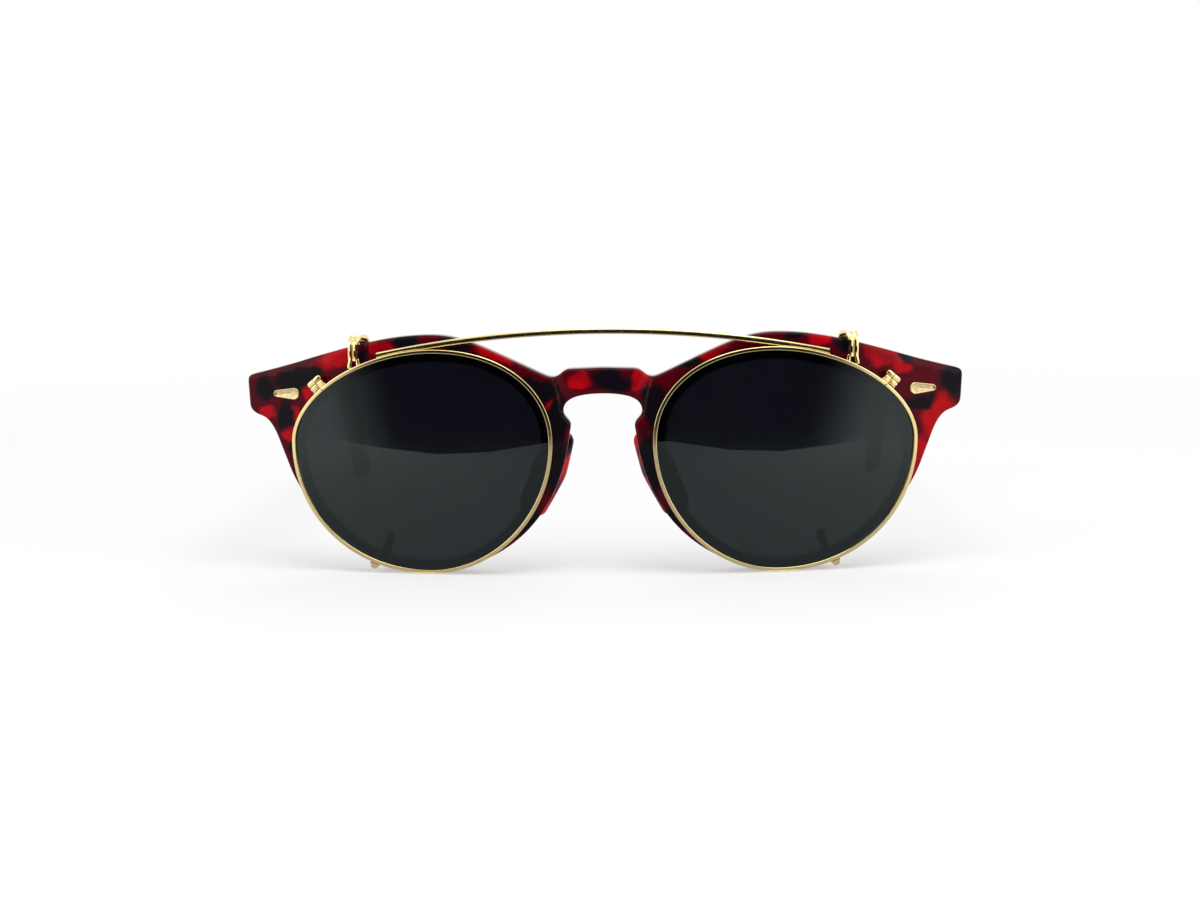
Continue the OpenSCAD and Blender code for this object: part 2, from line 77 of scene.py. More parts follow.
class FrontSizes(bpy.types.PropertyGroup):
    frame_w: length("Front width", "Overall width of the acetate front", 142)
    eye_w: length("Lens width", "Width of one lens opening", 47)
    eye_h: length("Lens height", "Height of one lens opening", 39.3)
    bridge_w: length("Bridge width", "Gap between the two lens openings", 24)
    front_t: length("Thickness", "Thickness of the acetate front", 4)
    face_r: length("Face curve", "Radius of the front's curve round the face", 210)
    brow_rim: length("Brow", "Acetate above the lens opening", 5.2)
    lower_rim: length("Lower rim", "Acetate below the lens opening", 1.8)
    end_h: length("End piece", "Height of the end piece", 8.4)
    bridge_t: length("Bridge height", "Height of the bridge over the keyhole", 5)
    keyhole_w: length("Keyhole", "Width of the keyhole under the bridge", 15.3)
    nose_w: length("Nose gap", "Width of the neck below the keyhole", 12.4)
    edge_r: length("Edge rounding", "Rounding of the acetate's polished edges", 0.55)
    facet_depth: length("Bridge facet", "Depth of the facets cut beside the bridge", 0.6)
    plaque_l: length("Plaque length", "Length of the metal plaque on the end piece", 5.6)
    plaque_h: length("Plaque height", "Largest height of the plaque", 2.35)
    plaque_t: length("Plaque thickness", "Thickness of the plaque", 0.6)


class LensSizes(bpy.types.PropertyGroup):
    demo_t: length("Clear lens", "Thickness of the clear lens", 1.6)
    demo_groove: length("Acetate groove", "Depth of the lens groove in the acetate", 0.5)
    sun_t: length("Sun lens", "Thickness of the sun lens", 1.2)
    sun_groove: length("Metal groove", "Depth of the lens groove in the metal rim", 0.35)


class TempleSizes(bpy.types.PropertyGroup):
    bend_at: length("Straight stretch", "Distance from the joint to the ear bend", 92)
    bend_r: length("Bend radius", "Radius of the ear bend", 30)
    temple_t: length("Thickness", "Thickness of a temple", 4)
    temple_h: length("Height at the joint", "Height of a temple at its joint", 7.8)
    temple_waist_h: length("Height before the bend", "Height of a temple before the ear bend", 5.4)
    temple_tip_h: length("Height of the paddle", "Height of the paddle at the end", 6.8)
    barrel_r: length("Hinge barrel", "Radius of the hinge barrel", 1.35)
    knuckle_h: length("Knuckle", "Height of one hinge knuckle", 1.25)
    hinge_screw_r: length("Hinge screw", "Radius of the hinge screw", 0.65)
    leaf_t: length("Hinge leaf", "Thickness of a hinge leaf", 0.9)


class ClipSizes(bpy.types.PropertyGroup):
    rim_w: length("Rim width", "Width of the metal rim seen from the front", 0.75)
    rim_d: length("Rim depth", "Depth of the metal rim", 1.8)
    clip_gap: length("Gap", "Space between the acetate and the metal rim", 0.6)
    bar_h: length("Bar height", "Height of the brow bar's section", 1.1)
    bar_d: length("Bar depth", "Depth of the brow bar's section", 1.1)
    bar_reach: length("Bar reach", "Distance from the middle to the bar's end", 44)
    bar_rise: length("Bar rise", "Rise of the bar from its ends to its middle", 4.6)
    hook_w: length("Hook width", "Width of a top hook", 2.1)
    hook_t: length("Hook metal", "Metal thickness of hooks and claws", 0.7)
    claw_w: length("Claw width", "Width of a bottom claw", 1.1)
    claw_tab: length("Claw tab", "Length of the claw's tab behind the lens", 4.6)
    sleeve_t: length("Sleeve", "Wall of the soft sleeves", 0.3)
    lock_h: length("Lock reach", "Reach of a rim lock beyond the rim", 2.2)
    lock_l: length("Lock length", "Length of a rim lock along the rim", 3.2)
    lock_screw_r: length("Lock screw", "Radius of the rim lock's screw", 0.4)


class Finishes(bpy.types.PropertyGroup):
    red: colour("Acetate red", "Clear red of the tortoise acetate", (0.45, 0.002, 0.007))
    deep_red: colour("Acetate deep red", "Darker red clouds in the acetate", (0.085, 0.001, 0.006))
    black: colour("Acetate black", "Dark blotches in the acetate", (0.006, 0.004, 0.007))
    gold: colour("Gold", "Pale gold plating of the clip", (0.95, 0.76, 0.36))
    plaque: colour("Plaque gold", "Satin gold of the plaques", (0.72, 0.56, 0.30))
    nickel: colour("Nickel silver", "Hinges, screws and core wires", (0.66, 0.64, 0.60))
    sleeve: colour("Sleeve", "Soft sleeves on the hooks and claws", (0.035, 0.034, 0.036))
    # Painted shade: both sun lens tints are darker than the glass's own tint, the top one most, standing in
    # for shade seen through the lens.
    sun_tint_top_painted_shade: colour("Sun lens, top", "Tint at the top of the sun lens", (0.004, 0.004, 0.008))
    sun_tint_low_painted_shade: colour("Sun lens, bottom", "Tint at the bottom of the sun lens", (0.010, 0.013, 0.014))


class StageSettings(bpy.types.PropertyGroup):
    camera_turn: FloatProperty(
        name="Camera turn", description="Turn of the camera round the object",
        default=math.radians(1.41), subtype="ANGLE")
    camera_height: FloatProperty(
        name="Camera elevation", description="Elevation of the camera",
        default=math.radians(7.0), subtype="ANGLE")
    camera_roll: FloatProperty(
        name="Camera roll", description="Roll of the camera",
        default=math.radians(-0.66), subtype="ANGLE")
    camera_distance: length("Camera distance", "Distance from the camera to the front", 380)
    focal: FloatProperty(name="Focal length", description="Focal length in millimetres", default=59.1)
    aim_x: length("Aim across", "Where the camera points, across", -0.57)
    aim_z: length("Aim height", "Where the camera points, above the table", 24.31)


SIZE_GROUPS = {
    "spectacle_front": FrontSizes,
    "spectacle_lenses": LensSizes,
    "spectacle_temples": TempleSizes,
    "spectacle_clip": ClipSizes,
}


def sizes():
    """All lengths of the size groups, in millimetres."""
    found = {}
    for attribute, group in SIZE_GROUPS.items():
        values = getattr(bpy.context.scene, attribute)
        for name in group.__annotations__:
            found[name] = getattr(values, name) / MM
    return SimpleNamespace(**found)


def finishes():
    """All finish colours, as plain tuples."""
    values = bpy.context.scene.spectacle_finishes
    return SimpleNamespace(**{name: tuple(getattr(values, name)) for name in Finishes.__annotations__})


# ---------------------------------------------------------------- outlines, in millimetres

# Roundness of a lens in its quarters: upper outer, upper nasal, lower nasal, lower outer.
QUADRANT_POWER = (1.85, 2.15, 1.95, 2.1)
# Height at which a lens is widest, and its highest and lowest places as shares of its width.
WIDE_Z = 3.8
CROWN_SHARE, CHIN_SHARE = 0.447, 0.472
EYE_DROP = 0.25
# How far the metal rim's opening lies outside the opening in the acetate.
OVER = SimpleNamespace(nasal=1.6, temporal=1.65, top=1.8, bottom=1.3)
# Top of the keyhole and of the end piece, below the top of the brow.
KEY_DROP, END_DROP = 11.4, 8
# The hinge: its place on the end piece, and the spaces in it.
TEMPLE_INSET, TEMPLE_GAP = 0.4, 0.15
HINGE_RISE, HINGE_BACK_GAP = 3.3, 0.2
BORE_GAP = 0.05
# Places round the rims: the hooks past the bar's end, the locks and claws by turns in degrees.
HOOK_PAST_BAR, LOCK_STEP, CLAW_TURN, CLAW_TOE = 4.2, 19, 292, 1.5


def bezier(points, count):
    """Points along a cubic curve, without its first one."""
    t = np.linspace(0, 1, count + 1)[1:, None]
    a, b, c, d = (np.array(p, float) for p in points)
    u = 1 - t
    return u ** 3 * a + 3 * u * u * t * b + 3 * u * t * t * c + t ** 3 * d


def resample(points, step):
    """Points at an even spacing along a closed outline."""
    p = np.array(points, float)
    p = np.vstack([p, p[:1]])
    run = np.concatenate([[0], np.cumsum(np.linalg.norm(np.diff(p, axis=0), axis=1))])
    count = max(8, int(round(run[-1] / step)))
    at = np.linspace(0, run[-1], count, endpoint=False)
    return np.stack([np.interp(at, run, p[:, i]) for i in range(p.shape[1])], axis=1)


def soften(points, times):
    """Rounds a closed outline a little, several times over."""
    for _ in range(times):
        points = 0.25 * np.roll(points, 1, 0) + 0.5 * points + 0.25 * np.roll(points, -1, 0)
    return points


def side_normals(points):
    """Unit vectors to the right of the direction of travel round a closed outline."""
    t = np.roll(points, -1, 0) - np.roll(points, 1, 0)
    t /= np.linalg.norm(t, axis=1)[:, None]
    return np.stack([t[:, 1], -t[:, 0]], axis=1)


class Layout:
    """Places and outlines measured from the middle of the lenses."""

    def __init__(self):
        s = self.s = sizes()
        self.nasal_x = s.bridge_w / 2
        self.temporal_x = self.nasal_x + s.eye_w
        self.crown_x = self.nasal_x + CROWN_SHARE * s.eye_w
        self.chin_x = self.nasal_x + CHIN_SHARE * s.eye_w
        self.eye_top = s.eye_h / 2 - EYE_DROP
        self.eye_bottom = -s.eye_h / 2 - EYE_DROP
        self.brow_z = self.eye_top + s.brow_rim
        self.chin_z = self.eye_bottom - s.lower_rim
        self.key_z = self.brow_z - KEY_DROP
        self.bridge_z = self.key_z + s.bridge_t
        self.end_top = self.brow_z - END_DROP
        self.end_bottom = self.end_top - s.end_h
        self.end_mid = (self.end_top + self.end_bottom) / 2
        self.half_w = s.frame_w / 2
        self.back_r = s.face_r - s.front_t
        self.demo_r = s.face_r - (s.front_t - s.demo_t) / 2
        self.clip_back_r = s.face_r + s.clip_gap
        self.clip_front_r = self.clip_back_r + s.rim_d
        self.sun_r = self.clip_back_r + (s.rim_d + s.sun_t) / 2
        self.bar_r = self.clip_back_r + (s.rim_d + s.bar_d) / 2
        self.temple_outer_x = self.half_w - TEMPLE_INSET
        self.temple_inner_x = self.temple_outer_x - s.temple_t
        self.hinge_x = self.temple_inner_x - s.barrel_r - BORE_GAP
        leaf_back = self.shell_y(self.hinge_x, self.end_mid + HINGE_RISE, self.back_r)
        self.hinge_y = leaf_back + s.barrel_r + HINGE_BACK_GAP
        self.joint_y = self.shell_y(self.temple_inner_x, self.end_mid, self.back_r) + TEMPLE_GAP
        self.hook_turn = self.sun_turn(s.bar_reach + HOOK_PAST_BAR)
        self.lock_turn = self.hook_turn - LOCK_STEP
        self.claw_turn = CLAW_TURN
        self.claw_lean = self.sun_lean(self.claw_turn) + CLAW_TOE
        self.outline = self.front_outline()
        self.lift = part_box("clip_rim_left")[0].z / MM - (self.eye_bottom - OVER.bottom - s.rim_w)
        deepest = self.shell_y(self.outline[:, 0], self.outline[:, 1], self.back_r).max()
        self.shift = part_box("front")[1].y / MM - deepest

    def shell_y(self, x, z, r):
        """Depth of a point on the sphere of radius r that all faces share."""
        return self.s.face_r - np.sqrt(r * r - np.asarray(x) ** 2 - np.asarray(z) ** 2)

    def oval(self, turn, nasal, temporal, top, bottom):
        """Point of a lens outline at a turn in degrees, counted from the temple side upwards."""
        t = np.radians(np.asarray(turn, float) % 360)
        upper = np.sin(t) >= 0
        outer = np.cos(t) >= 0
        power = np.where(
            upper,
            np.where(outer, QUADRANT_POWER[0], QUADRANT_POWER[1]),
            np.where(outer, QUADRANT_POWER[3], QUADRANT_POWER[2]),
        )
        middle = np.where(upper, self.crown_x, self.chin_x)
        side = np.where(outer, temporal, nasal)
        end = np.where(upper, top, bottom)
        x = middle + (side - middle) * np.abs(np.cos(t)) ** (2 / power)
        z = WIDE_Z + (end - WIDE_Z) * np.abs(np.sin(t)) ** (2 / power)
        return np.stack([x, z], axis=-1)

    def eye(self, turn, grow=0.0):
        """The lens opening in the acetate."""
        return self.oval(turn, self.nasal_x - grow, self.temporal_x + grow,
                         self.eye_top + grow, self.eye_bottom - grow)

    def sun(self, turn, grow=0.0):
        """The opening of the metal rim."""
        return self.oval(turn, self.nasal_x - OVER.nasal - grow, self.temporal_x + OVER.temporal + grow,
                         self.eye_top + OVER.top + grow, self.eye_bottom - OVER.bottom - grow)

    def sun_turn(self, x):
        """Turn at which the rim's outer edge reaches a distance x from the middle."""
        side = self.temporal_x + OVER.temporal + self.s.rim_w
        part = np.clip((np.asarray(x, float) - self.crown_x) / (side - self.crown_x), 0, 1)
        return np.degrees(np.arccos(part ** (QUADRANT_POWER[0] / 2)))

    def sun_lean(self, turn):
        """Lean of the metal rim's outer edge at a turn."""
        d = self.sun(turn + 1, self.s.rim_w) - self.sun(turn - 1, self.s.rim_w)
        return math.degrees(math.atan2(d[1], -d[0]))

    def on_face(self, p, r, lean=0.0):
        """Function that puts local points on the sphere of radius r, -Y along the outward normal."""
        tilt = math.asin(p[1] / r)
        turn = math.asin(p[0] / (r * math.cos(tilt)))
        m = (Matrix.Translation((0, self.s.face_r, 0))
             @ Matrix.Rotation(turn, 4, "Z")
             @ Matrix.Rotation(-tilt, 4, "X")
             @ Matrix.Rotation(math.radians(lean), 4, "Y")
             @ Matrix.Translation((0, -r, 0)))
        m = np.array(m)
        return lambda v: np.asarray(v) @ m[:3, :3].T + m[:3, 3]

    def front_outline(self):
        """Closed outline of the acetate front, clockwise from the top of the bridge."""
        def v(x, z):
            return np.array([x, z], float)

        bridge_end = v(self.nasal_x - 5.6, self.bridge_z - 0.2)
        notch = v(self.nasal_x - 2.6, self.bridge_z - 1.8)
        brow_foot = v(self.nasal_x, self.bridge_z - 1)
        brow_start = v(self.nasal_x + 6.5, self.bridge_z + 2)
        brow_top = v(self.crown_x + 0.5, self.brow_z)
        brow_end = v(self.temporal_x - 1, self.brow_z - 4.7)
        corner_top = v(self.half_w - 0.9, self.end_top)
        corner_side = v(self.half_w, self.end_top - 1.1)
        corner_low = v(self.half_w - 0.3, self.end_bottom + 2.4)
        end_under = v(self.half_w - 3.1, self.end_bottom + 0.1)
        rim_side = v(self.temporal_x + 5.4, self.end_bottom - 5)
        rim_outer = v(self.temporal_x + 3.5, self.end_bottom - 9.9)
        chin = v(self.chin_x, self.chin_z)
        nose_neck = v(self.s.nose_w / 2 + 0.2, self.key_z - 7.5)
        nose_corner = v(self.s.nose_w / 2 - 0.1, self.key_z - 6)
        key_side = v(self.s.keyhole_w / 2, self.key_z - 3.4)
        key_top = v(0, self.key_z)
        rim_handle = 0.425 * (rim_outer[1] - chin[1])
        nose_handle = 0.6825 * (nose_neck[1] - chin[1])
        half = np.vstack([
            [v(0, self.bridge_z), bridge_end],
            bezier([bridge_end, bridge_end + v(1.4, -0.1), notch - v(1.3, -0.1), notch], 14),
            bezier([notch, notch + v(0.9, 0), brow_foot - v(1, 0.45), brow_foot], 10),
            [brow_start],
            bezier([brow_start, brow_start + v(5.5, 2.5), brow_top - v(5.5, 0), brow_top], 24),
            bezier([brow_top, brow_top + v(8.5, 0), brow_end - v(8, -2.3), brow_end], 24),
            bezier([brow_end, brow_end + v(3.8, -1.2), corner_top - v(4.1, -1), corner_top], 16),
            bezier([corner_top, corner_top + v(0.7, -0.2), corner_side + v(0, 0.6), corner_side], 8),
            bezier([corner_low, corner_low - v(0.1, 1.3), end_under + v(1.6, 0.5), end_under], 12),
            bezier([end_under, end_under - v(1.6, 0.6), rim_side + v(0.8, 2.2), rim_side], 14),
            bezier([rim_outer, rim_outer - v(3.3, rim_handle), chin + v(14.2, 0), chin], 36),
            bezier([chin, chin - v(12.3, 0), nose_neck + v(2.1, -nose_handle), nose_neck], 36),
            [nose_corner],
            bezier([nose_corner, nose_corner + v(0.3, 1.2), key_side - v(0, 1.2), key_side], 10),
            bezier([key_side, key_side + v(0, 2.8), key_top + v(self.s.keyhole_w / 4, 0), key_top], 20),
        ])
        return np.vstack([half, half[-2:0:-1] * [-1, 1]])


# ---------------------------------------------------------------- mesh helpers

class Surface:
    """Vertices and faces being gathered for one piece, in millimetres from the lens middle."""

    def __init__(self):
        self.verts, self.faces, self.count = [], [], 0

    def add(self, verts, faces):
        self.verts.append(np.asarray(verts, float))
        self.faces += [[i + self.count for i in f] for f in faces]
        self.count += len(verts)
        return self

    def grid(self, rings, loop=False, caps=(False, False)):
        """Skins closed rings of equal length, one after another."""
        rings = np.asarray(rings, float)
        n, m = rings.shape[:2]
        faces = []
        for i in range(n if loop else n - 1):
            a, b = i * m, ((i + 1) % n) * m
            for j in range(m):
                k = (j + 1) % m
                faces.append([a + j, a + k, b + k, b + j])
        if caps[0]:
            faces.append(list(range(m))[::-1])
        if caps[1]:
            faces.append([(n - 1) * m + j for j in range(m)])
        return self.add(rings.reshape(-1, 3), faces)

    def moved(self, place):
        """The same surface with its points passed through a placing function."""
        out = Surface()
        out.add(place(np.vstack(self.verts)), self.faces)
        return out


def at_depth(outline, y):
    """An outline in X-Z at one depth along Y."""
    return np.stack([outline[:, 0], np.full(len(outline), y), outline[:, 1]], 1)


def slab(outline, low, high, edge, steps=4):
    """A plate with rounded edges: an outline in X-Z between two depths along Y."""
    p = np.asarray(outline, float)
    area = np.sum(p[:, 0] * np.roll(p[:, 1], -1) - np.roll(p[:, 0], -1) * p[:, 1])
    if area > 0:
        p = p[::-1]
    n = side_normals(p)
    rounding = []
    for turn in np.radians(np.linspace(90, 0, steps + 1)):
        rounding.append((p + n * edge * (1 - math.cos(turn)), edge * (1 - math.sin(turn))))
    rings = [at_depth(q, low + sunk) for q, sunk in rounding]
    rings += [at_depth(q, high - sunk) for q, sunk in rounding[::-1]]
    return Surface().grid(rings, caps=(True, True))


def lathe(profile):
    """Turns (radius, height) points round the Z axis into a ring."""
    segments = 40
    turns = np.linspace(0, 2 * math.pi, segments, endpoint=False)
    rings = [np.stack([r * np.cos(turns), r * np.sin(turns), np.full(segments, h)], 1) for r, h in profile]
    return Surface().grid(rings, loop=True)


def rounded_box(w, h, r, steps=4):
    """Outline of a rectangle with round corners, centred on the origin."""
    points = []
    for cx, cz, start in ((1, 1, 0), (-1, 1, 90), (-1, -1, 180), (1, -1, 270)):
        for t in np.radians(np.linspace(start, start + 90, steps + 1)):
            points.append((cx * (w / 2 - r) + r * math.cos(t), cz * (h / 2 - r) + r * math.sin(t)))
    return np.array(points)


def sweep(path, across, section):
    """Carries a flat section along a path; each section lies across the path's direction."""
    path = np.asarray(path, float)
    ahead = np.gradient(path, axis=0)
    ahead /= np.linalg.norm(ahead, axis=1)[:, None]
    across = np.broadcast_to(np.asarray(across, float), path.shape)
    across = across / np.linalg.norm(across, axis=1)[:, None]
    outward = np.cross(across, ahead)
    rings = []
    for i in range(len(path)):
        rings.append(path[i] + (section[:, :1] * across[i] + section[:, 1:] * outward[i]))
    return Surface().grid(rings, caps=(True, True))


def merged(*surfaces):
    """Several surfaces gathered into one."""
    out = Surface()
    for surface in surfaces:
        out.add(np.vstack(surface.verts), surface.faces)
    return out


def arc(cx, cz, r, start, end, count):
    """Points along an arc, its turns in degrees."""
    t = np.radians(np.linspace(start, end, count))
    return np.stack([cx + r * np.cos(t), cz + r * np.sin(t)], 1)


def linked(name, data):
    """A new object of the scene."""
    item = bpy.data.objects.new(name, data)
    bpy.context.scene.collection.objects.link(item)
    return item


def face_outwards(mesh, weld=False):
    """Turns all faces outwards, after joining points that coincide if weld is set."""
    bm = bmesh.new()
    bm.from_mesh(mesh)
    if weld:
        bmesh.ops.remove_doubles(bm, verts=bm.verts, dist=2e-6)
    bmesh.ops.recalc_face_normals(bm, faces=bm.faces)
    bm.to_mesh(mesh)
    bm.free()


def make(name, surface, layout, material, body, slot, replaces, mirror=False, sharp=38, weld=False):
    """Turns a gathered surface into a finished piece on its body."""
    verts = np.vstack(surface.verts) + [0, layout.shift, layout.lift]
    if mirror:
        verts = verts * [-1, 1, 1]
    mesh = bpy.data.meshes.new(name)
    mesh.from_pydata((verts * MM).tolist(), [], surface.faces)
    face_outwards(mesh, weld)
    mesh.polygons.foreach_set("use_smooth", [True] * len(mesh.polygons))
    mesh.set_sharp_from_angle(angle=math.radians(sharp))
    mesh.materials.append(material)
    piece = linked(name, mesh)
    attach(piece, body)
    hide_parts(*replaces)


def make_pair(name, surface, layout, material, body, slot, node, **settings):
    """The wearer's left piece and its mirror image on the right."""
    for side in ("left", "right"):
        make(f"{name}_{side}", surface, layout, material, body.replace("SIDE", side), slot,
             replaces=[f"{node}_{side}"], mirror=side == "right", **settings)


def carved(surface, cutters):
    """A surface with closed cutters taken away from it."""
    def raw(shape):
        mesh = bpy.data.meshes.new("raw")
        mesh.from_pydata(np.vstack(shape.verts).tolist(), [], shape.faces)
        face_outwards(mesh)
        return linked("raw", mesh)

    body = raw(surface)
    tools = [raw(cutter) for cutter in cutters]
    for tool in tools:
        cut = body.modifiers.new("cut", "BOOLEAN")
        cut.operation, cut.object, cut.solver = "DIFFERENCE", tool, "EXACT"
    done = body.evaluated_get(bpy.context.evaluated_depsgraph_get()).to_mesh()
    out = Surface().add([list(v.co) for v in done.vertices], [list(p.vertices) for p in done.polygons])
    for piece in [body, *tools]:
        mesh = piece.data
        bpy.data.objects.remove(piece)
        bpy.data.meshes.remove(mesh)
    return out


# ---------------------------------------------------------------- materials

class Tree:
    """The node tree of a material or a world, with short ways to add to it."""

    def __init__(self, owner):
        owner.use_nodes = True
        self.nodes, self.links = owner.node_tree.nodes, owner.node_tree.links

    def put(self, socket, value):
        """Feeds a socket from another one, or sets its value."""
        if hasattr(value, "is_linked"):
            self.links.new(value, socket)
        else:
            socket.default_value = value

    def node(self, kind, inputs=(), **settings):
        n = self.nodes.new(kind)
        for key, value in settings.items():
            setattr(n, key, value)
        for key, value in dict(inputs).items():
            self.put(n.inputs[key], value)
        return n

    def math(self, operation, a, b=0.0, c=0.0):
        return self.node("ShaderNodeMath", {0: a, 1: b, 2: c}, operation=operation).outputs[0]

    def vector(self, operation, inputs, output="Vector"):
        return self.node("ShaderNodeVectorMath", inputs, operation=operation).outputs[output]

    def range(self, value, low, high, to_low=0.0, to_high=1.0, kind="SMOOTHSTEP"):
        return self.node("ShaderNodeMapRange", {
            "Value": value, "From Min": low, "From Max": high, "To Min": to_low, "To Max": to_high,
        }, interpolation_type=kind).outputs["Result"]


class Look(Tree):
    """A material of one finish."""

    def __init__(self, name, base, roughness, **sockets):
        self.material = bpy.data.materials.new(name)
        super().__init__(self.material)
        self.shader = self.nodes["Principled BSDF"]
        self.set("Base Color", (*base, 1))
        self.set("Roughness", roughness)
        for socket, value in sockets.items():
            self.set(socket.replace("_", " "), value)
        self.place = self.nodes.new("ShaderNodeTexCoord").outputs["Object"]

    def set(self, socket, value):
        self.put(self.shader.inputs[socket], value)

    def noise(self, scale, detail=2.0, roughness=0.5, vector=None, offset=None):
        vector = vector or self.place
        if offset:
            vector = self.vector("ADD", {0: vector, 1: offset})
        return self.node("ShaderNodeTexNoise", {
            "Vector": vector, "Scale": scale, "Detail": detail, "Roughness": roughness}).outputs["Fac"]

    def mix(self, factor, a, b):
        n = self.node("ShaderNodeMix", data_type="RGBA")
        self.put(n.inputs[0], factor)
        for index, value in ((6, a), (7, b)):
            self.put(n.inputs[index], (*value, 1) if isinstance(value, tuple) else value)
        return n.outputs[2]

    def bump(self, height, distance, strength=1.0):
        n = self.node("ShaderNodeBump", {"Height": height, "Distance": distance, "Strength": strength})
        self.set("Normal", n.outputs[0])


def shade(colour, share):
    return tuple(c * share for c in colour)


# Areas of the front: middle across and up in millimetres, half sizes, and lean in degrees.
FRONT_BLOTCHES = (
    (-67.4, 14.4, 2.4, 2.8, 0), (-61.2, 15.7, 4.4, 2.4, -6), (-63.0, 8.6, 2.0, 3.5, 10),
    (-61.5, 2.6, 1.0, 1.6, 0), (-57.0, 17.0, 2.0, 1.4, 15), (-46.7, 20.6, 1.0, 1.8, 0),
    (-38.4, 23.2, 2.6, 1.4, -6), (-28.6, 23.0, 3.2, 1.3, 10), (-12.0, 13.8, 4.0, 2.2, 20),
    (-8.6, 7.4, 2.2, 5.6, 6), (-8.8, -2.0, 3.2, 8.0, -12), (-14.5, -12.5, 2.8, 7.0, -36),
    (1.9, 15.8, 4.0, 2.1, 10), (9.8, 10.8, 2.2, 5.0, -8), (8.8, -1.0, 3.2, 8.0, 12),
    (14.0, -12.0, 2.8, 7.0, 36), (16.4, 18.9, 2.6, 1.4, -20), (37.2, 24.0, 2.4, 1.0, 0),
    (47.8, 22.0, 2.2, 1.4, 10), (59.6, 19.4, 1.9, 1.7, 30), (69.2, 14.2, 2.9, 3.7, 0),
    (62.2, 10.2, 3.2, 1.6, 0), (58.8, 2.0, 1.2, 2.6, -20), (-24.0, -19.0, 5.0, 2.6, -20),
    (24.0, -19.0, 5.0, 2.6, 20),
)
FRONT_BRIGHT = (
    (-52.4, 20.2, 4.2, 2.0, -18), (-43.4, 22.2, 2.0, 1.4, 0), (-66.6, 9.0, 1.7, 1.4, 0),
    (-61.0, 9.6, 1.0, 1.5, 0), (-61.9, 5.1, 1.6, 1.5, 0), (-57.8, 13.6, 1.6, 1.8, 0),
    (-58.5, -1.5, 1.4, 2.6, 20), (-21.0, 20.6, 3.4, 1.2, 28), (-4.5, 15.8, 2.2, 1.6, 0),
    (7.2, 15.4, 1.6, 1.8, 0), (42.5, 23.0, 2.4, 1.2, 0), (54.4, 20.2, 3.0, 2.2, 12),
    (58.4, 17.4, 2.2, 1.5, 10), (65.9, 7.2, 2.8, 4.4, 20), (61.2, -1.0, 1.6, 4.6, 22),
    (22.0, 21.4, 3.0, 1.0, -24), (-8.6, 1.6, 0.9, 1.0, 0), (9.4, 4.4, 0.9, 1.1, 0),
    (-9.8, 10.8, 1.0, 0.9, 0),
)


def nearness(look, place, layout, areas):
    """Distance to the nearest of several leaning ellipses, 1 on their edges."""
    near = None
    for x, z, rx, rz, lean in areas:
        local = look.node("ShaderNodeMapping", {
            "Vector": place,
            "Location": (x * MM, layout.shift * MM, (z + layout.lift) * MM),
            "Rotation": (0, math.radians(lean), 0),
            "Scale": (rx * MM, 60 * MM, rz * MM),
        }, vector_type="TEXTURE").outputs[0]
        away = look.vector("LENGTH", {0: local}, "Value")
        near = away if near is None else look.math("SMOOTH_MIN", near, away, 0.25)
    return near


def acetate(name, layout, blotches=(), bright=(), glow=1.0):
    """Polished red acetate with near-black clouds."""
    f = finishes()
    look = Look(name, f.red, 0.07, IOR=1.49, Specular_IOR_Level=0.09)
    wobble = look.node("ShaderNodeTexNoise", {"Vector": look.place, "Scale": 230.0, "Detail": 2.0})
    centred = look.vector("SUBTRACT", {0: wobble.outputs["Color"], 1: (0.5,) * 3})
    shift = look.vector("SCALE", {0: centred, "Scale": 0.0036})
    place = look.vector("ADD", {0: look.place, 1: shift})
    clouds = look.range(look.noise(130.0, 2.0, 0.45, place, (0.3, 0.1, 0.2)), 0.5, 0.64)
    if blotches:
        dark = look.range(nearness(look, place, layout, blotches), 1.3, 0.7)
        clouds = look.math("MAXIMUM", look.math("MULTIPLY", clouds, 0.5),
                           look.range(nearness(look, place, layout, bright), 0.75, 1.3))
    else:
        stretched = look.node("ShaderNodeMapping", {"Vector": place, "Scale": (0.7, 0.55, 1.0)}).outputs[0]
        dark = look.range(look.noise(150.0, 1.5, 0.45, stretched), 0.47, 0.55)
    red = look.mix(clouds, shade(f.red, glow), f.deep_red)
    streak = look.range(look.noise(300.0, 2.0, 0.5, place), 0.3, 0.8, 0.0, 0.2)
    red = look.mix(streak, red, f.black)
    look.set("Base Color", look.mix(dark, red, f.black))
    look.set("Roughness", look.range(look.noise(500.0, 3.0), 0.2, 0.8, 0.05, 0.09))
    look.bump(look.noise(120.0, 1.0), 0.00004, 0.5)
    return look.material


def polished_gold():
    f = finishes()
    look = Look("polished_gold", f.gold, 0.14, Metallic=1.0)
    tone = look.range(look.noise(700.0, 3.0), 0.3, 0.7)
    look.set("Base Color", look.mix(tone, f.gold, shade(f.gold, 0.93)))
    look.set("Roughness", look.range(look.noise(900.0, 3.0), 0.3, 0.75, 0.09, 0.16))
    look.bump(look.noise(500.0, 1.0), 0.00001, 0.25)
    return look.material


def plaque_gold():
    f = finishes()
    look = Look("plaque_gold", f.plaque, 0.3, Metallic=1.0)
    tone = look.range(look.noise(1400.0, 3.0), 0.35, 0.7)
    look.set("Base Color", look.mix(tone, f.plaque, shade(f.plaque, 0.72)))
    look.set("Roughness", look.range(look.noise(2200.0, 4.0), 0.3, 0.7, 0.25, 0.36))
    look.bump(look.noise(700.0, 2.0), 0.00005, 0.6)
    return look.material


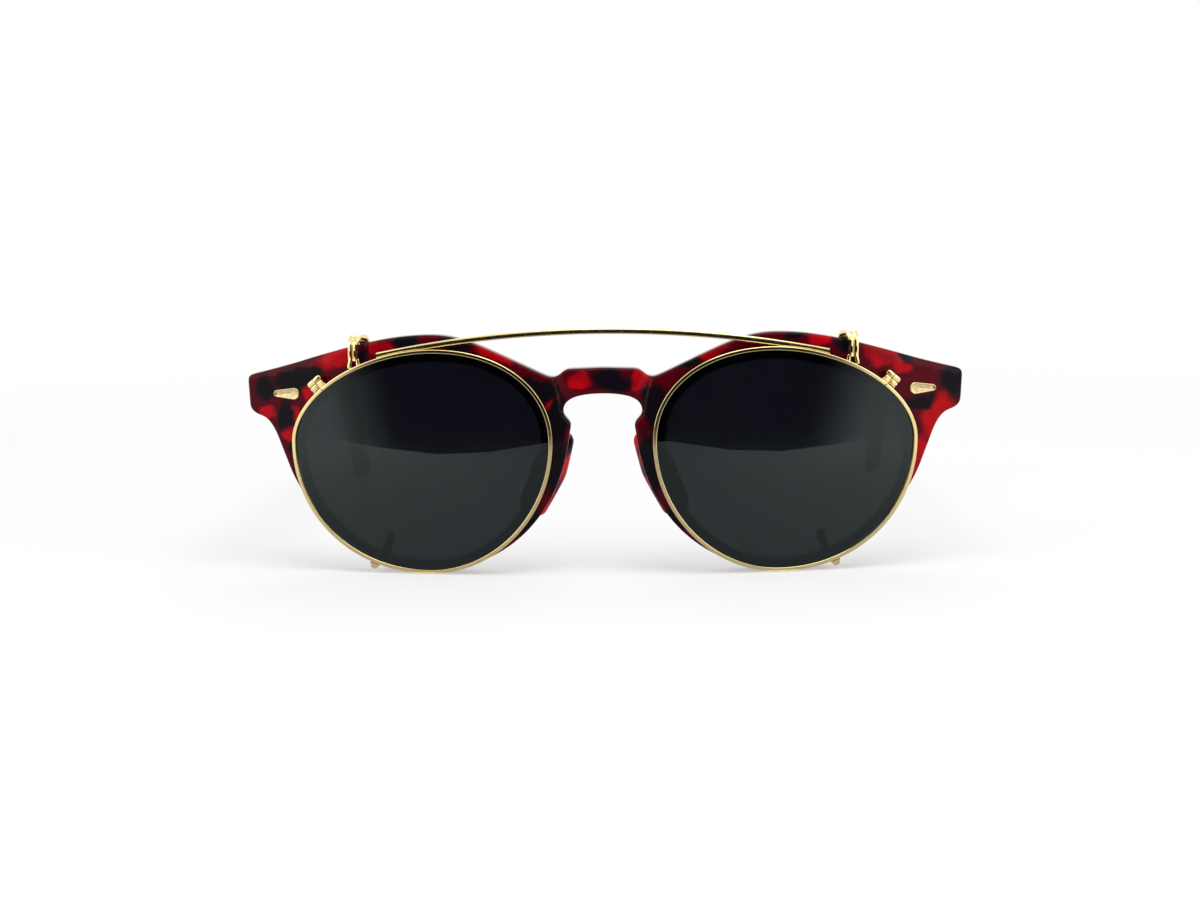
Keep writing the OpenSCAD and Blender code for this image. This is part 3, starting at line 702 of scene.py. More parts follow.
def nickel_silver(name="nickel_silver"):
    f = finishes()
    look = Look(name, f.nickel, 0.28, Metallic=1.0)
    grain = look.node("ShaderNodeMapping", {"Vector": look.place, "Scale": (1.0, 1.0, 14.0)}).outputs[0]
    look.set("Base Color", look.mix(look.noise(900.0, 2.0), f.nickel, shade(f.nickel, 0.8)))
    look.set("Roughness", look.range(look.noise(1500.0, 3.0, 0.6, grain), 0.3, 0.7, 0.2, 0.42))
    look.bump(look.noise(2400.0, 2.0, 0.6, grain), 0.00001, 0.5)
    return look.material


def soft_vinyl():
    f = finishes()
    look = Look("soft_vinyl", f.sleeve, 0.5)
    look.set("Base Color", look.mix(look.noise(800.0, 3.0), f.sleeve, shade(f.sleeve, 1.8)))
    look.set("Roughness", look.range(look.noise(1600.0, 2.0), 0.3, 0.7, 0.4, 0.6))
    look.bump(look.noise(3000.0, 2.0), 0.00002, 0.5)
    return look.material


def clear_lens():
    look = Look("clear_lens", (0.96, 0.975, 0.97), 0.0,
                Transmission_Weight=1.0, IOR=1.3, Specular_IOR_Level=0.3)
    look.set("Base Color", look.mix(look.noise(40.0), (0.95, 0.97, 0.965), (0.97, 0.98, 0.975)))
    return look.material


def sun_lens(layout):
    """Grey-green glass with painted shade: darker than its own tint, and darkest towards the top."""
    f = finishes()
    look = Look("sun_lens", f.sun_tint_low_painted_shade, 0.0,
                Transmission_Weight=1.0, IOR=1.53, Specular_Tint=(0.86, 1.0, 0.97, 1))
    height = look.node("ShaderNodeSeparateXYZ", {0: look.place}).outputs["Z"]
    # Painted shade: the tint darkens towards the top, broken by faint random streaks.
    painted_shade_to_top = look.range(height, (layout.lift - 3) * MM, (layout.lift + 7) * MM)
    streak = look.range(look.noise(18.0), 0.3, 0.7, 0.0, 0.12)
    deep = look.math("SUBTRACT", painted_shade_to_top, streak)
    look.set("Base Color", look.mix(deep, f.sun_tint_low_painted_shade, f.sun_tint_top_painted_shade))
    return look.material


LOOKS = {}


def look_for(key, layout):
    """Makes each material once."""
    makers = {
        "front_acetate": lambda: acetate("front_acetate", layout, FRONT_BLOTCHES, FRONT_BRIGHT),
        "temple_acetate": lambda: acetate("temple_acetate", layout),
        "pad_acetate": lambda: acetate("pad_acetate", layout, glow=1.6),
        "gold": polished_gold,
        "plaque": plaque_gold,
        "nickel": nickel_silver,
        "wire": lambda: nickel_silver("drawn_wire"),
        "sleeve": soft_vinyl,
        "clear": clear_lens,
        "sun": lambda: sun_lens(layout),
    }
    if key not in LOOKS:
        LOOKS[key] = makers[key]()
    return LOOKS[key]


# ---------------------------------------------------------------- pieces

def bridge_facet(layout, p):
    """Depth of the facet cut on each side of the bridge panel, at points in the X-Z plane."""
    x, z = np.abs(p[:, 0]), p[:, 1] - layout.key_z
    heights = [-4.4, -3.2, -1.2, 0.2, 1.0, 2.45, 4.3, 6.0]
    inner = np.interp(z, heights, [0.0, 1.0, 3.0, 5.1, 6.4, 7.1, 8.0, 8.6])
    outer = np.interp(z, heights, [7.7, 7.9, 8.2, 8.5, 8.7, 9.2, 9.8, 10.2])
    t = np.clip((x - inner) / (outer - inner), 0, 1)
    beyond = np.clip(1 - (x - outer) / 0.35, 0, 1)
    fade = np.clip((z + 4.4) / 1.2, 0, 1)
    return layout.s.facet_depth * np.where(x <= outer, t, beyond) * fade


def acetate_front(layout):
    """The acetate front: rounded edges, keyhole, bridge facets and lens grooves."""
    s = layout.s
    outer = soften(resample(layout.outline, 0.32), 3)
    turns = np.linspace(0, 360, 361)[:-1]
    eye = soften(resample(layout.eye(turns), 0.4), 1)
    loops = [outer, eye, (eye * [-1, 1])[::-1]]
    front_edge = np.radians(np.linspace(90, 0, 7))
    surface = Surface()
    borders = {"front": [], "back": []}
    for index, loop in enumerate(loops):
        n = side_normals(loop)
        if index == 0:
            near_key = np.exp(-((loop[:, 0] / 7.5) ** 4)) * (loop[:, 1] < layout.key_z + 0.6)
            near_key = near_key * (loop[:, 1] > layout.key_z - 8)
            near_key = np.convolve(np.r_[near_key[-8:], near_key, near_key[:8]], np.ones(17) / 17, "valid")
            width = s.edge_r * (1 + 0.25 * near_key)
            power = 1 + 0.7 * near_key
        else:
            width = np.full(len(loop), 0.4)
            power = np.ones(len(loop))
        rings = []

        def ring(inset, radius):
            p = loop + n * np.asarray(inset).reshape(-1, 1) if np.ndim(inset) else loop + n * inset
            rings.append(np.stack([p[:, 0], layout.shell_y(p[:, 0], p[:, 1], radius), p[:, 1]], 1))
            return p

        for t in front_edge:
            inset = width * (1 - math.cos(t) ** power) if t < math.pi / 2 - 1e-6 else width
            drop = width * (1 - math.sin(t) ** power)
            p = loop + n * inset[:, None]
            radius = s.face_r - bridge_facet(layout, p) - drop
            rings.append(np.stack([p[:, 0], layout.shell_y(p[:, 0], p[:, 1], radius), p[:, 1]], 1))
            if t == front_edge[0]:
                borders["front"].append(p)
        if index:
            groove = s.demo_groove + 0.03
            for inset, radius in (
                (0.0, layout.demo_r + 0.13), (0.03, layout.demo_r + 0.03), (groove, layout.demo_r + 0.02),
                (groove, layout.demo_r - s.demo_t - 0.02), (0.03, layout.demo_r - s.demo_t - 0.03),
                (0.0, layout.demo_r - s.demo_t - 0.13),
            ):
                ring(inset, radius)
        back = 0.4
        for t in front_edge[::-1]:
            p = ring(back * (1 - math.cos(t)), layout.back_r + back * (1 - math.sin(t)))
        borders["back"].append(p)
        surface.grid(rings)
    for side, radius in (("front", s.face_r), ("back", layout.back_r)):
        points = fill_between(borders[side], layout, fine=side == "front")
        verts2d, triangles = points
        depth = bridge_facet(layout, verts2d) if side == "front" else 0.0
        y = layout.shell_y(verts2d[:, 0], verts2d[:, 1], radius - depth)
        surface.add(np.stack([verts2d[:, 0], y, verts2d[:, 1]], 1), triangles)
    return surface


def inside(points, loop):
    """Whether each point lies inside a closed outline."""
    x, z = points[:, 0][:, None], points[:, 1][:, None]
    a, b = loop, np.roll(loop, -1, 0)
    crosses = (a[:, 1] > z) != (b[:, 1] > z)
    with np.errstate(divide="ignore", invalid="ignore"):
        at = a[:, 0] + (z - a[:, 1]) / (b[:, 1] - a[:, 1]) * (b[:, 0] - a[:, 0])
    return (np.sum(crosses & (x < at), axis=1) % 2) == 1


def fill_between(loops, layout, fine):
    """Triangles between an outer outline and the openings inside it, with points in between."""
    outer, holes = loops[0], loops[1:]
    grids = []
    for step in (1.1, 0.3):
        xs = np.arange(-layout.half_w, layout.half_w + step, step)
        zs = np.arange(layout.chin_z - 1, layout.brow_z + 1, step)
        gx, gz = np.meshgrid(xs, zs)
        gx = gx + (np.arange(len(zs)) % 2)[:, None] * step / 2
        q = np.stack([gx.ravel(), gz.ravel()], 1)
        at_bridge = (np.abs(q[:, 0]) < 11) & (q[:, 1] > layout.key_z - 6) & fine
        q = q[~at_bridge] if step > 1 else q[at_bridge]
        if not len(q):
            continue
        ok = inside(q, outer)
        for hole in holes:
            ok &= ~inside(q, hole)
        q = q[ok]
        rims = np.vstack(loops)
        far = np.ones(len(q), bool)
        for start in range(0, len(q), 500):
            part = q[start:start + 500]
            gap = np.min(np.hypot(part[:, :1] - rims[:, 0], part[:, 1:] - rims[:, 1]), axis=1)
            far[start:start + 500] = gap > step * 0.45
        grids.append(q[far])
    points = np.vstack([*loops, *grids])
    edges, at = [], 0
    for loop in loops:
        n = len(loop)
        edges += [(at + i, at + (i + 1) % n) for i in range(n)]
        at += n
    found = delaunay_2d_cdt([Vector(p) for p in points], edges, [], 0, 1e-6)
    verts = np.array([list(v) for v in found[0]])
    tris = np.array([f for f in found[2] if len(f) == 3])
    centre = verts[tris].mean(axis=1)
    ok = inside(centre, outer)
    for hole in holes:
        ok &= ~inside(centre, hole)
    return verts, tris[ok].tolist()


def lens_surface(layout, outline, centre, front_r, thickness):
    """A curved lens: front and back on concentric spheres, with a small bevel at its edge."""
    bevel = 0.15
    turns = np.linspace(0, 360, 193)[:-1]
    edge = outline(turns)
    centre = np.array(centre)
    towards = (centre - edge) / np.linalg.norm(centre - edge, axis=1)[:, None]
    rings = []
    steps = np.linspace(0.02, 1, 18)
    for side, radius, inset in ((0, front_r, steps), (1, front_r - thickness, steps[::-1])):
        rim = edge + towards * bevel
        for k in inset:
            p = centre + (rim - centre) * k
            rings.append(np.stack([p[:, 0], layout.shell_y(p[:, 0], p[:, 1], radius), p[:, 1]], 1))
        if side == 0:
            for r in (front_r - bevel, front_r - thickness + bevel):
                rings.append(np.stack([edge[:, 0], layout.shell_y(edge[:, 0], edge[:, 1], r), edge[:, 1]], 1))
    surface = Surface().grid(rings)
    count = len(turns)
    for row, radius in ((0, front_r), (len(rings) - 1, front_r - thickness)):
        middle = surface.count
        y = layout.shell_y(*centre, radius)
        surface.verts.append(np.array([[centre[0], y, centre[1]]]))
        surface.count += 1
        at = row * count
        surface.faces += [[middle, at + j, at + (j + 1) % count] for j in range(count)]
    return surface


def nose_pad_surface(layout):
    """A smooth pad over five balls, flattened where it is bonded to the front's back."""
    s = layout.s
    balls = ((-3.4, 5, 3.2, 2.3), (-1.7, 7.4, -3, 2.5), (1.8, 6, -9.4, 2.3), (0, 2, -1, 2.2), (3, 2, -8, 2))
    centres = np.array([(layout.nasal_x + x - 0.45, s.front_t + y - 2, z) for x, y, z, _ in balls])
    radii = np.array([b[3] for b in balls])
    bm = bmesh.new()
    bmesh.ops.create_icosphere(bm, subdivisions=6, radius=1)
    normals = np.array([v.co.normalized() for v in bm.verts])
    faces = [[v.index for v in f.verts] for f in bm.faces]
    bm.free()
    reach = normals @ centres.T + radii
    weight = np.exp(2.4 * (reach - reach.max(axis=1, keepdims=True)))
    weight /= weight.sum(axis=1, keepdims=True)
    points = weight @ centres + (weight @ radii)[:, None] * normals
    back = layout.shell_y(points[:, 0], points[:, 2], layout.back_r) - 0.08
    points[:, 1] = np.maximum(points[:, 1], back)
    return Surface().add(points, faces)


def plaque_surface(layout):
    """A tapered plaque, round at both ends and slightly dished."""
    s = layout.s
    r1, r2 = s.plaque_h / 2, 0.7
    run = s.plaque_l - r1 - r2
    lean = math.acos((r1 - r2) / run)
    big = [(r1 * math.cos(a), r1 * math.sin(a)) for a in np.linspace(lean, 2 * math.pi - lean, 22)]
    small = [(run + r2 * math.cos(a), r2 * math.sin(a)) for a in np.linspace(-lean, lean, 12)]
    outline = resample(np.array(big + small), 0.16)
    n = side_normals(outline[::-1])[::-1]
    sunk, proud = 0.3, s.plaque_t - 0.3
    rings = []
    for inset, y in ((0.0, sunk), (0.0, 0.12 - proud), (0.05, 0.05 - proud), (0.14, -proud),
                     (0.22, 0.02 - proud), (0.34, 0.09 - proud)):
        q = outline + n * inset
        rings.append(np.stack([q[:, 0], np.full(len(q), y), q[:, 1]], 1))
    middle = np.array([run * 0.42, 0])
    for k in (0.75, 0.45, 0.2):
        q = middle + (outline + n * 0.34 - middle) * k
        y = 0.12 - proud + 0.05 * math.cos(k * 5)
        rings.append(np.stack([q[:, 0], np.full(len(q), y), q[:, 1]], 1))
    surface = Surface().grid(rings, caps=(True, True))
    at = (layout.half_w - 11 + r1, layout.end_mid + 0.5)
    return surface.moved(layout.on_face(at, s.face_r))


def temple_path(layout):
    """Functions of path length along a temple: centre as (back, up), heading, half height; and its length."""
    s = layout.s
    slope, bend = math.radians(1.3), math.radians(42)
    ear = slope + bend
    bend_l = s.bend_r * bend
    lens_z = -(layout.eye_bottom - OVER.bottom - s.rim_w)
    tip_r = s.temple_tip_h / 2
    drop = (lens_z + layout.end_mid - tip_r - s.bend_at * math.sin(slope)
            - s.bend_r * (math.cos(slope) - math.cos(ear)))
    total = s.bend_at + bend_l + drop / math.sin(ear)

    def centre(d):
        a = slope + min(max(d - s.bend_at, 0), bend_l) / s.bend_r
        start = np.array([math.cos(slope), -math.sin(slope)])
        p = min(d, s.bend_at) * start
        p = p + s.bend_r * np.array([math.sin(a) - math.sin(slope), math.cos(a) - math.cos(slope)])
        return p + max(d - s.bend_at - bend_l, 0) * np.array([math.cos(ear), -math.sin(ear)])

    def heading(d):
        return slope + min(max(d - s.bend_at, 0), bend_l) / s.bend_r

    def ramp(d, low, high):
        return (1 - math.cos(math.pi * min(max((d - low) / (high - low), 0), 1))) / 2

    def half(d):
        return (s.temple_h + (s.temple_waist_h - s.temple_h) * ramp(d, 4, s.bend_at)
                + (s.temple_tip_h - s.temple_waist_h) * ramp(d, s.bend_at, total)) / 2

    return centre, heading, half, total


def temple_surface(layout):
    """A temple of rounded section: cut to the front's curve at the joint, a round paddle at the end."""
    s = layout.s
    centre, heading, half, total = temple_path(layout)
    middle = np.array([layout.temple_outer_x - s.temple_t / 2, layout.joint_y, layout.end_mid])

    def ring(d, along=0.0, tall=1.0, wide=1.0, inset=0.0):
        h, a = half(d), heading(d)
        section = rounded_box((s.temple_t - 2 * inset) * wide,
                              (2 * h - 2 * inset) * tall, 1.15 * min(tall, wide), 5)
        c = centre(d) + along * np.array([math.cos(a), -math.sin(a)])
        up = np.array([math.sin(a), math.cos(a)])
        return np.stack([
            middle[0] + section[:, 0],
            middle[1] + c[0] + section[:, 1] * up[0],
            middle[2] + c[1] + section[:, 1] * up[1],
        ], 1)

    rings = []
    for inset, back in ((0.45, 0.0), (0.2, 0.06), (0.05, 0.2), (0.0, 0.45)):
        r = ring(0.0, inset=inset)
        r[:, 1] = layout.shell_y(r[:, 0], r[:, 2], layout.back_r - TEMPLE_GAP) + back
        rings.append(r)
    for d in np.concatenate([[2.5], np.linspace(4.5, s.bend_at, 26), np.linspace(s.bend_at, total, 34)[1:]]):
        rings.append(ring(d))
    reach = half(total)
    for a in np.radians(np.linspace(9, 88, 10)):
        tall = math.cos(a)
        rings.append(ring(total, along=reach * math.sin(a), tall=tall, wide=max(tall, 0.05) ** 0.45))
    return Surface().grid(rings, caps=(True, True))


def knuckle(layout, index):
    s = layout.s
    low = index * (s.knuckle_h + 0.06)
    high = low + s.knuckle_h
    r, bore, c = s.barrel_r, s.hinge_screw_r + 0.05, 0.12
    return lathe([(bore, low), (r - c, low), (r, low + c), (r, high - c), (r - c, high), (bore, high)])


def hinge_place(layout):
    barrel_h = 5 * layout.s.knuckle_h + 4 * 0.06
    offset = np.array([layout.hinge_x, layout.hinge_y, layout.end_mid - barrel_h / 2])
    return lambda v: np.asarray(v) + offset


def brick(low, high, edge=0.1):
    """A small block with rounded edges between two corners."""
    (x0, y0, z0), (x1, y1, z1) = low, high
    outline = rounded_box(x1 - x0, z1 - z0, edge * 1.6, 3) + [(x0 + x1) / 2, (z0 + z1) / 2]
    return slab(outline, y0, y1, edge, 3)


def front_hinge_surface(layout):
    s = layout.s
    leaf_h, leaf_l = 6.6, 4.8
    plate = slab(rounded_box(leaf_l, leaf_h, 0.9), 0.1 - s.leaf_t, 0.1, 0.12)
    rivets = [slab(rounded_box(1.2, 1.2, 0.59, 6) + [-0.9, z], -0.2, 0.28, 0.16) for z in (-2.0, 2.0)]
    place = layout.on_face((layout.hinge_x - 2.2, layout.end_mid), layout.back_r)
    leaf = merged(plate, *rivets).moved(place)
    pitch = s.knuckle_h + 0.06
    parts = [leaf]
    for i in (0, 2, 4):
        parts.append(knuckle(layout, i).moved(hinge_place(layout)))
        neck = brick((-1.1, -s.barrel_r - 0.6, i * pitch + 0.01),
                     (0.1, -0.75, i * pitch + s.knuckle_h - 0.01))
        parts.append(neck.moved(hinge_place(layout)))
    return merged(*parts)


def temple_hinge_surface(layout):
    s = layout.s
    start = layout.hinge_y + 1
    plate = brick((-0.0, 0, 0), (6.4, s.leaf_t, 6.6), 0.12)
    turned = plate.moved(lambda v: np.stack([
        layout.temple_inner_x - 0.1 + v[:, 1], start + v[:, 0], layout.end_mid - 3.3 + v[:, 2]], 1))
    rivets = []
    for y, z in ((4.9, -1.9), (4.9, 1.9), (3.0, 0.0)):
        r = slab(rounded_box(1.2, 1.2, 0.59, 6), -0.28, 0.2, 0.16)
        rivets.append(r.moved(lambda v, y=y, z=z: np.stack([
            layout.temple_inner_x + v[:, 1], start + y + v[:, 0], layout.end_mid + z + v[:, 2]], 1)))
    parts = [turned, *rivets]
    pitch = s.knuckle_h + 0.06
    for i in (1, 3):
        parts.append(knuckle(layout, i).moved(hinge_place(layout)))
        neck = brick((0.75, 0.2, i * pitch + 0.01), (s.barrel_r + 0.35, 2.4, i * pitch + s.knuckle_h - 0.01))
        parts.append(neck.moved(hinge_place(layout)))
    return merged(*parts)


def rim_surface(layout):
    """A flat-faced metal rim with a groove for its lens, split at the lock."""
    s = layout.s
    w, back, front = s.rim_w, layout.clip_back_r, layout.clip_front_r
    section = []
    edge = 0.15
    for t in np.radians(np.linspace(180, 90, 5)):
        section.append((edge + edge * math.cos(t), front - edge + edge * math.sin(t)))
    section += [(edge + 0.03, front), (w - edge - 0.03, front)]
    for t in np.radians(np.linspace(90, 0, 5)):
        section.append((w - edge + edge * math.cos(t), front - edge + edge * math.sin(t)))
    for g, r in ((w, back + 0.15), (w - 0.05, back + 0.04), (w - 0.15, back),
                 (0.15, back), (0.05, back + 0.04),
                 (0.0, back + 0.15)):
        section.append((g, r))
    low, high = layout.sun_r - s.sun_t - 0.03, layout.sun_r + 0.03
    for g, r in ((0.0, low), (s.sun_groove + 0.03, low), (s.sun_groove + 0.03, high), (0.0, high)):
        section.append((g, r))
    half_split = math.degrees(0.1 / 28)
    turns = layout.lock_turn + half_split + np.linspace(0, 360 - 2 * half_split, 289)
    rings = []
    for u in turns:
        ring = []
        for g, r in section:
            p = layout.sun(u, g)
            ring.append((p[0], float(layout.shell_y(p[0], p[1], r)), p[1]))
        rings.append(ring)
    return Surface().grid(rings, caps=(True, True))


def brow_bar_surface(layout):
    """The brow bar: an arched strip of rounded section with square-cut ends."""
    s = layout.s
    top_mid = layout.sun(layout.sun_turn(s.bar_reach), s.rim_w)[1] + s.bar_h / 2 + s.bar_rise
    rim = layout.sun(np.linspace(20, 160, 281), s.rim_w)
    order = np.argsort(rim[:, 0])
    crown_top = layout.eye_top + OVER.top + s.rim_w
    rings = []
    xs = np.concatenate([[-s.bar_reach, -s.bar_reach + 0.08],
                         np.linspace(-s.bar_reach + 0.3, s.bar_reach - 0.3, 180),
                         [s.bar_reach - 0.08, s.bar_reach]])
    for i, x in enumerate(xs):
        inset = {0: 0.08, 1: 0.0, len(xs) - 2: 0.0, len(xs) - 1: 0.08}.get(i, 0.0)
        rim_top = layout.sun(layout.sun_turn(abs(x)), s.rim_w)[1] if abs(x) > layout.crown_x else crown_top
        mid = max(top_mid - s.bar_rise * (x / s.bar_reach) ** 2, rim_top - 0.3 + s.bar_h / 2)
        low, high = mid - s.bar_h / 2, mid + s.bar_h / 2
        rim_z = np.interp(abs(x), rim[order, 0], rim[order, 1], left=-99, right=-99)
        low = min(max(low, rim_z), high - 0.25)
        section = rounded_box(s.bar_d - 2 * inset, high - low - 2 * inset,
                              0.22 if high - low > 0.5 else 0.1, 3)
        ring = []
        for d, h in section:
            z = (low + high) / 2 + h
            ring.append((x, float(layout.shell_y(x, z, layout.bar_r - s.bar_d / 2 + d)), z))
        rings.append(ring)
    return Surface().grid(rings, caps=(True, True))


def hook_surface(layout):
    """A top hook: a strap with two slots that leaves the rim on two lugs, arches over the acetate
    and turns down behind it."""
    s = layout.s
    at = layout.sun(layout.hook_turn, s.rim_w)
    t = s.hook_t
    front, back = -s.clip_gap - 0.3 - t, s.front_t + 0.35 + s.sleeve_t + t
    top = layout.brow_z - 2 - at[1] + 1.4
    bend = 1.6 + t / 2
    left, right = front + t / 2, back - t / 2
    z_arc = top + t / 2 - bend
    flat = np.vstack([
        np.stack([np.full(22, left), np.linspace(0.85, z_arc, 22)], 1),
        arc(left + bend, z_arc, bend, 180, 90, 14)[1:],
        np.stack([np.linspace(left + bend, right - bend, 8), np.full(8, top + t / 2)], 1)[1:],
        arc(right - bend, z_arc, bend, 90, 0, 14)[1:],
        np.stack([np.full(7, right), np.linspace(z_arc, top - 4.2, 7)], 1)[1:],
    ])
    lean = 0.15 / 2.6
    sway = np.interp(flat[:, 1], [0.8, 3.4, top - 0.2], [0.1, 0.25, 0.25])
    sway = np.where(flat[:, 0] < left + bend, sway, 0.25)
    path = np.stack([sway, flat[:, 0], flat[:, 1]], 1)
    w = s.hook_w / 2
    half = [(0.07, t / 2 - 0.13), (0.13, t / 2 - 0.02), (0.2, t / 2),
            (w - 0.14, t / 2), (w - 0.04, t / 2 - 0.04), (w, t / 2 - 0.14)]
    upper = [(-x, h) for x, h in half[::-1]] + half
    lower = [(w, -t / 2 + 0.1), (w - 0.1, -t / 2), (0.3, -t / 2),
             (-0.3, -t / 2), (0.1 - w, -t / 2), (-w, -t / 2 + 0.1)]
    strap = sweep(path, (1, 0, 0), np.array(upper + lower))
    slots = []
    for a in (-0.44, 0.44):
        oval = rounded_box(0.5, 1.3, 0.24, 6)
        oval[:, 0] += oval[:, 1] * lean
        slots.append(slab(oval + [a + 0.1 + lean * 1.45, 2.25], left - 1.2, left + 1.2, 0.01, 1))
    strap = carved(strap, slots)
    feet = []
    for side in (-1, 1):
        lug = np.array([(0.42, 1.35), (1.04, 1.3), (1.1, 0.75),
                        (1.3, 0.1), (1.35, -0.6), (0.6, -0.7), (0.5, 0.1)])
        lug = soften(resample(lug * [side, 1], 0.12), 2)
        feet.append(slab(lug, left - t / 2, left + t / 2, 0.12, 3))
    link = slab(rounded_box(1.3, 0.34, 0.12) + [0.0, 1.02], left - t / 2 + 0.06, left + t / 2, 0.08, 3)
    place = layout.on_face(at, s.face_r)
    return merged(strap, *feet, link).moved(place)


def boot_surface(w, d, low, high, y):
    """A soft boot: a rounded sleeve, closed below, round a strap that enters from above."""
    rings = []
    for z, k in ((low, 0.55), (low + 0.06, 0.8), (low + 0.22, 0.97), (low + 0.4, 1.0), (high - 0.15, 1.0),
                 (high - 0.04, 0.95), (high, 0.85)):
        section = rounded_box(w * k, d * k, min(w, d) * 0.42 * k, 5)
        rings.append(np.stack([section[:, 0], y + section[:, 1], np.full(len(section), z)], 1))
    return Surface().grid(rings, caps=(True, True))


def claw_path(layout):
    s = layout.s
    back = s.front_t + 0.35 + s.sleeve_t
    start = -s.clip_gap - s.rim_d + 0.35
    r = 0.5
    y, z = back + s.hook_t / 2, 0.6
    flat = np.vstack([
        np.stack([np.linspace(start, y - r, 12), np.full(12, z)], 1),
        arc(y - r, z - r, r, 90, 0, 9)[1:],
        np.stack([np.full(10, y), np.linspace(z - r, -s.claw_tab, 10)], 1)[1:],
    ])
    return flat, y


def claw_surface(layout):
    """A bottom claw: a strap from the rim under the acetate, turned up behind the lens."""
    s = layout.s
    flat, _ = claw_path(layout)
    path = np.stack([np.zeros(len(flat)), flat[:, 0], flat[:, 1]], 1)
    strap = sweep(path, (1, 0, 0), rounded_box(s.claw_w, 0.5, 0.16, 4))
    wedge = np.array([(-1.0, -0.25), (-0.55, 0.55), (0.55, 0.55), (1.0, -0.25)])
    foot = slab(soften(resample(wedge, 0.12), 2),
                -s.clip_gap - s.rim_d + 0.3, -s.clip_gap - 0.2, 0.12, 3)
    place = layout.on_face(layout.sun(layout.claw_turn, s.rim_w), s.face_r, layout.claw_lean)
    return merged(strap, foot).moved(place)


def lock_surface(layout):
    """A rim lock: a ridged block on the rim's two ends under a broad cap, parted by a groove."""
    s = layout.s
    depth = s.rim_d + 0.2
    end, cap_low = s.lock_l / 2, s.lock_h - 1.0
    parts = []
    for side in (-1, 1):
        block = [(0.06, -0.35), (0.06, cap_low - 0.1), (1.33, cap_low - 0.1),
                 (1.36, 0.35), (1.5, 0.05), (1.72, -0.35)]
        parts.append(slab(resample(np.array(block) * [side, 1], 0.1),
                          -depth / 2 + 0.16, depth / 2 - 0.1, 0.1, 3))
        neck = [(0.06, cap_low - 0.3), (0.06, cap_low + 0.2), (1.15, cap_low + 0.2), (1.15, cap_low - 0.3)]
        parts.append(slab(resample(np.array(neck) * [side, 1], 0.1),
                          -depth / 2 + 0.42, depth / 2 - 0.2, 0.05, 2))
        cap = np.vstack([[(0.015, cap_low), (0.015, s.lock_h)],
                         arc(end - 0.45, s.lock_h - 0.45, 0.45, 90, 0, 7),
                         arc(end - 0.35, cap_low + 0.35, 0.35, 0, -90, 7)])
        parts.append(slab(resample(cap * [side, 1], 0.1), -depth / 2, depth / 2, 0.12, 3))
        for z in (0.15, 0.47, 0.79):
            ridge = rounded_box(1.15, 0.17, 0.07) + [side * 0.68, z]
            parts.append(slab(ridge, -depth / 2 + 0.04, -depth / 2 + 0.5, 0.05, 2))
    at = layout.sun(layout.lock_turn, s.rim_w)
    place = layout.on_face(at, layout.clip_back_r + s.rim_d / 2, layout.sun_lean(layout.lock_turn))
    return merged(*parts).moved(place)


# ---------------------------------------------------------------- operators

class SPECTACLES_OT_front(bpy.types.Operator):
    """Build the acetate front with its keyhole and bridge facets"""
    bl_idname = "spectacles.front"
    bl_label = "Acetate front"

    def execute(self, context):
        layout = Layout()
        make("acetate_front", acetate_front(layout), layout, look_for("front_acetate", layout),
             "front", "tortoise_acetate", replaces=["front"], weld=True, sharp=50)
        return {"FINISHED"}


class SPECTACLES_OT_nose_pads(bpy.types.Operator):
    """Build the two nose pads"""
    bl_idname = "spectacles.nose_pads"
    bl_label = "Nose pads"

    def execute(self, context):
        layout = Layout()
        make_pair("pad", nose_pad_surface(layout), layout, look_for("pad_acetate", layout),
                  "front", "tortoise_acetate", "nose_pad", sharp=60)
        return {"FINISHED"}


class SPECTACLES_OT_clear_lenses(bpy.types.Operator):
    """Build the two clear lenses of the acetate front"""
    bl_idname = "spectacles.clear_lenses"
    bl_label = "Clear lenses"

    def execute(self, context):
        layout = Layout()
        s = layout.s
        surface = lens_surface(layout, lambda u: layout.eye(u, s.demo_groove),
                               (layout.chin_x, WIDE_Z - 3), layout.demo_r, s.demo_t)
        make_pair("clear_lens", surface, layout, look_for("clear", layout),
                  "front", "clear_lens", "demo_lens")
        return {"FINISHED"}


class SPECTACLES_OT_plaques(bpy.types.Operator):
    """Build the tapered plaques on the end pieces"""
    bl_idname = "spectacles.plaques"
    bl_label = "Plaques"

    def execute(self, context):
        layout = Layout()
        make_pair("plaque", plaque_surface(layout), layout, look_for("plaque", layout),
                  "front", "plaque_metal", "front_plaque", sharp=60)
        return {"FINISHED"}


class SPECTACLES_OT_hinges(bpy.types.Operator):
    """Build the hinge leaves, and finish the screws and core wires"""
    bl_idname = "spectacles.hinges"
    bl_label = "Hinges"

    def execute(self, context):
        layout = Layout()
        nickel = look_for("nickel", layout)
        make_pair("front_hinge_leaf", front_hinge_surface(layout), layout, nickel,
                  "front", "hinge_steel", "front_hinge")
        make_pair("temple_hinge_leaf", temple_hinge_surface(layout), layout, nickel,
                  "temple_SIDE", "hinge_steel", "temple_hinge")
        for side in ("left", "right"):
            finish_node(f"hinge_screw_{side}", nickel)
            finish_node(f"temple_core_{side}", look_for("wire", layout))
        return {"FINISHED"}


class SPECTACLES_OT_temples(bpy.types.Operator):
    """Build the two acetate temples"""
    bl_idname = "spectacles.temples"
    bl_label = "Temples"

    def execute(self, context):
        layout = Layout()
        make_pair("temple_arm", temple_surface(layout), layout, look_for("temple_acetate", layout),
                  "temple_SIDE", "tortoise_acetate", "temple")
        return {"FINISHED"}


class SPECTACLES_OT_rims(bpy.types.Operator):
    """Build the metal rims of the sun clip"""
    bl_idname = "spectacles.rims"
    bl_label = "Clip rims"

    def execute(self, context):
        layout = Layout()
        make_pair("rim", rim_surface(layout), layout, look_for("gold", layout),
                  "sun_clip", "gold_metal", "clip_rim", sharp=50)
        return {"FINISHED"}


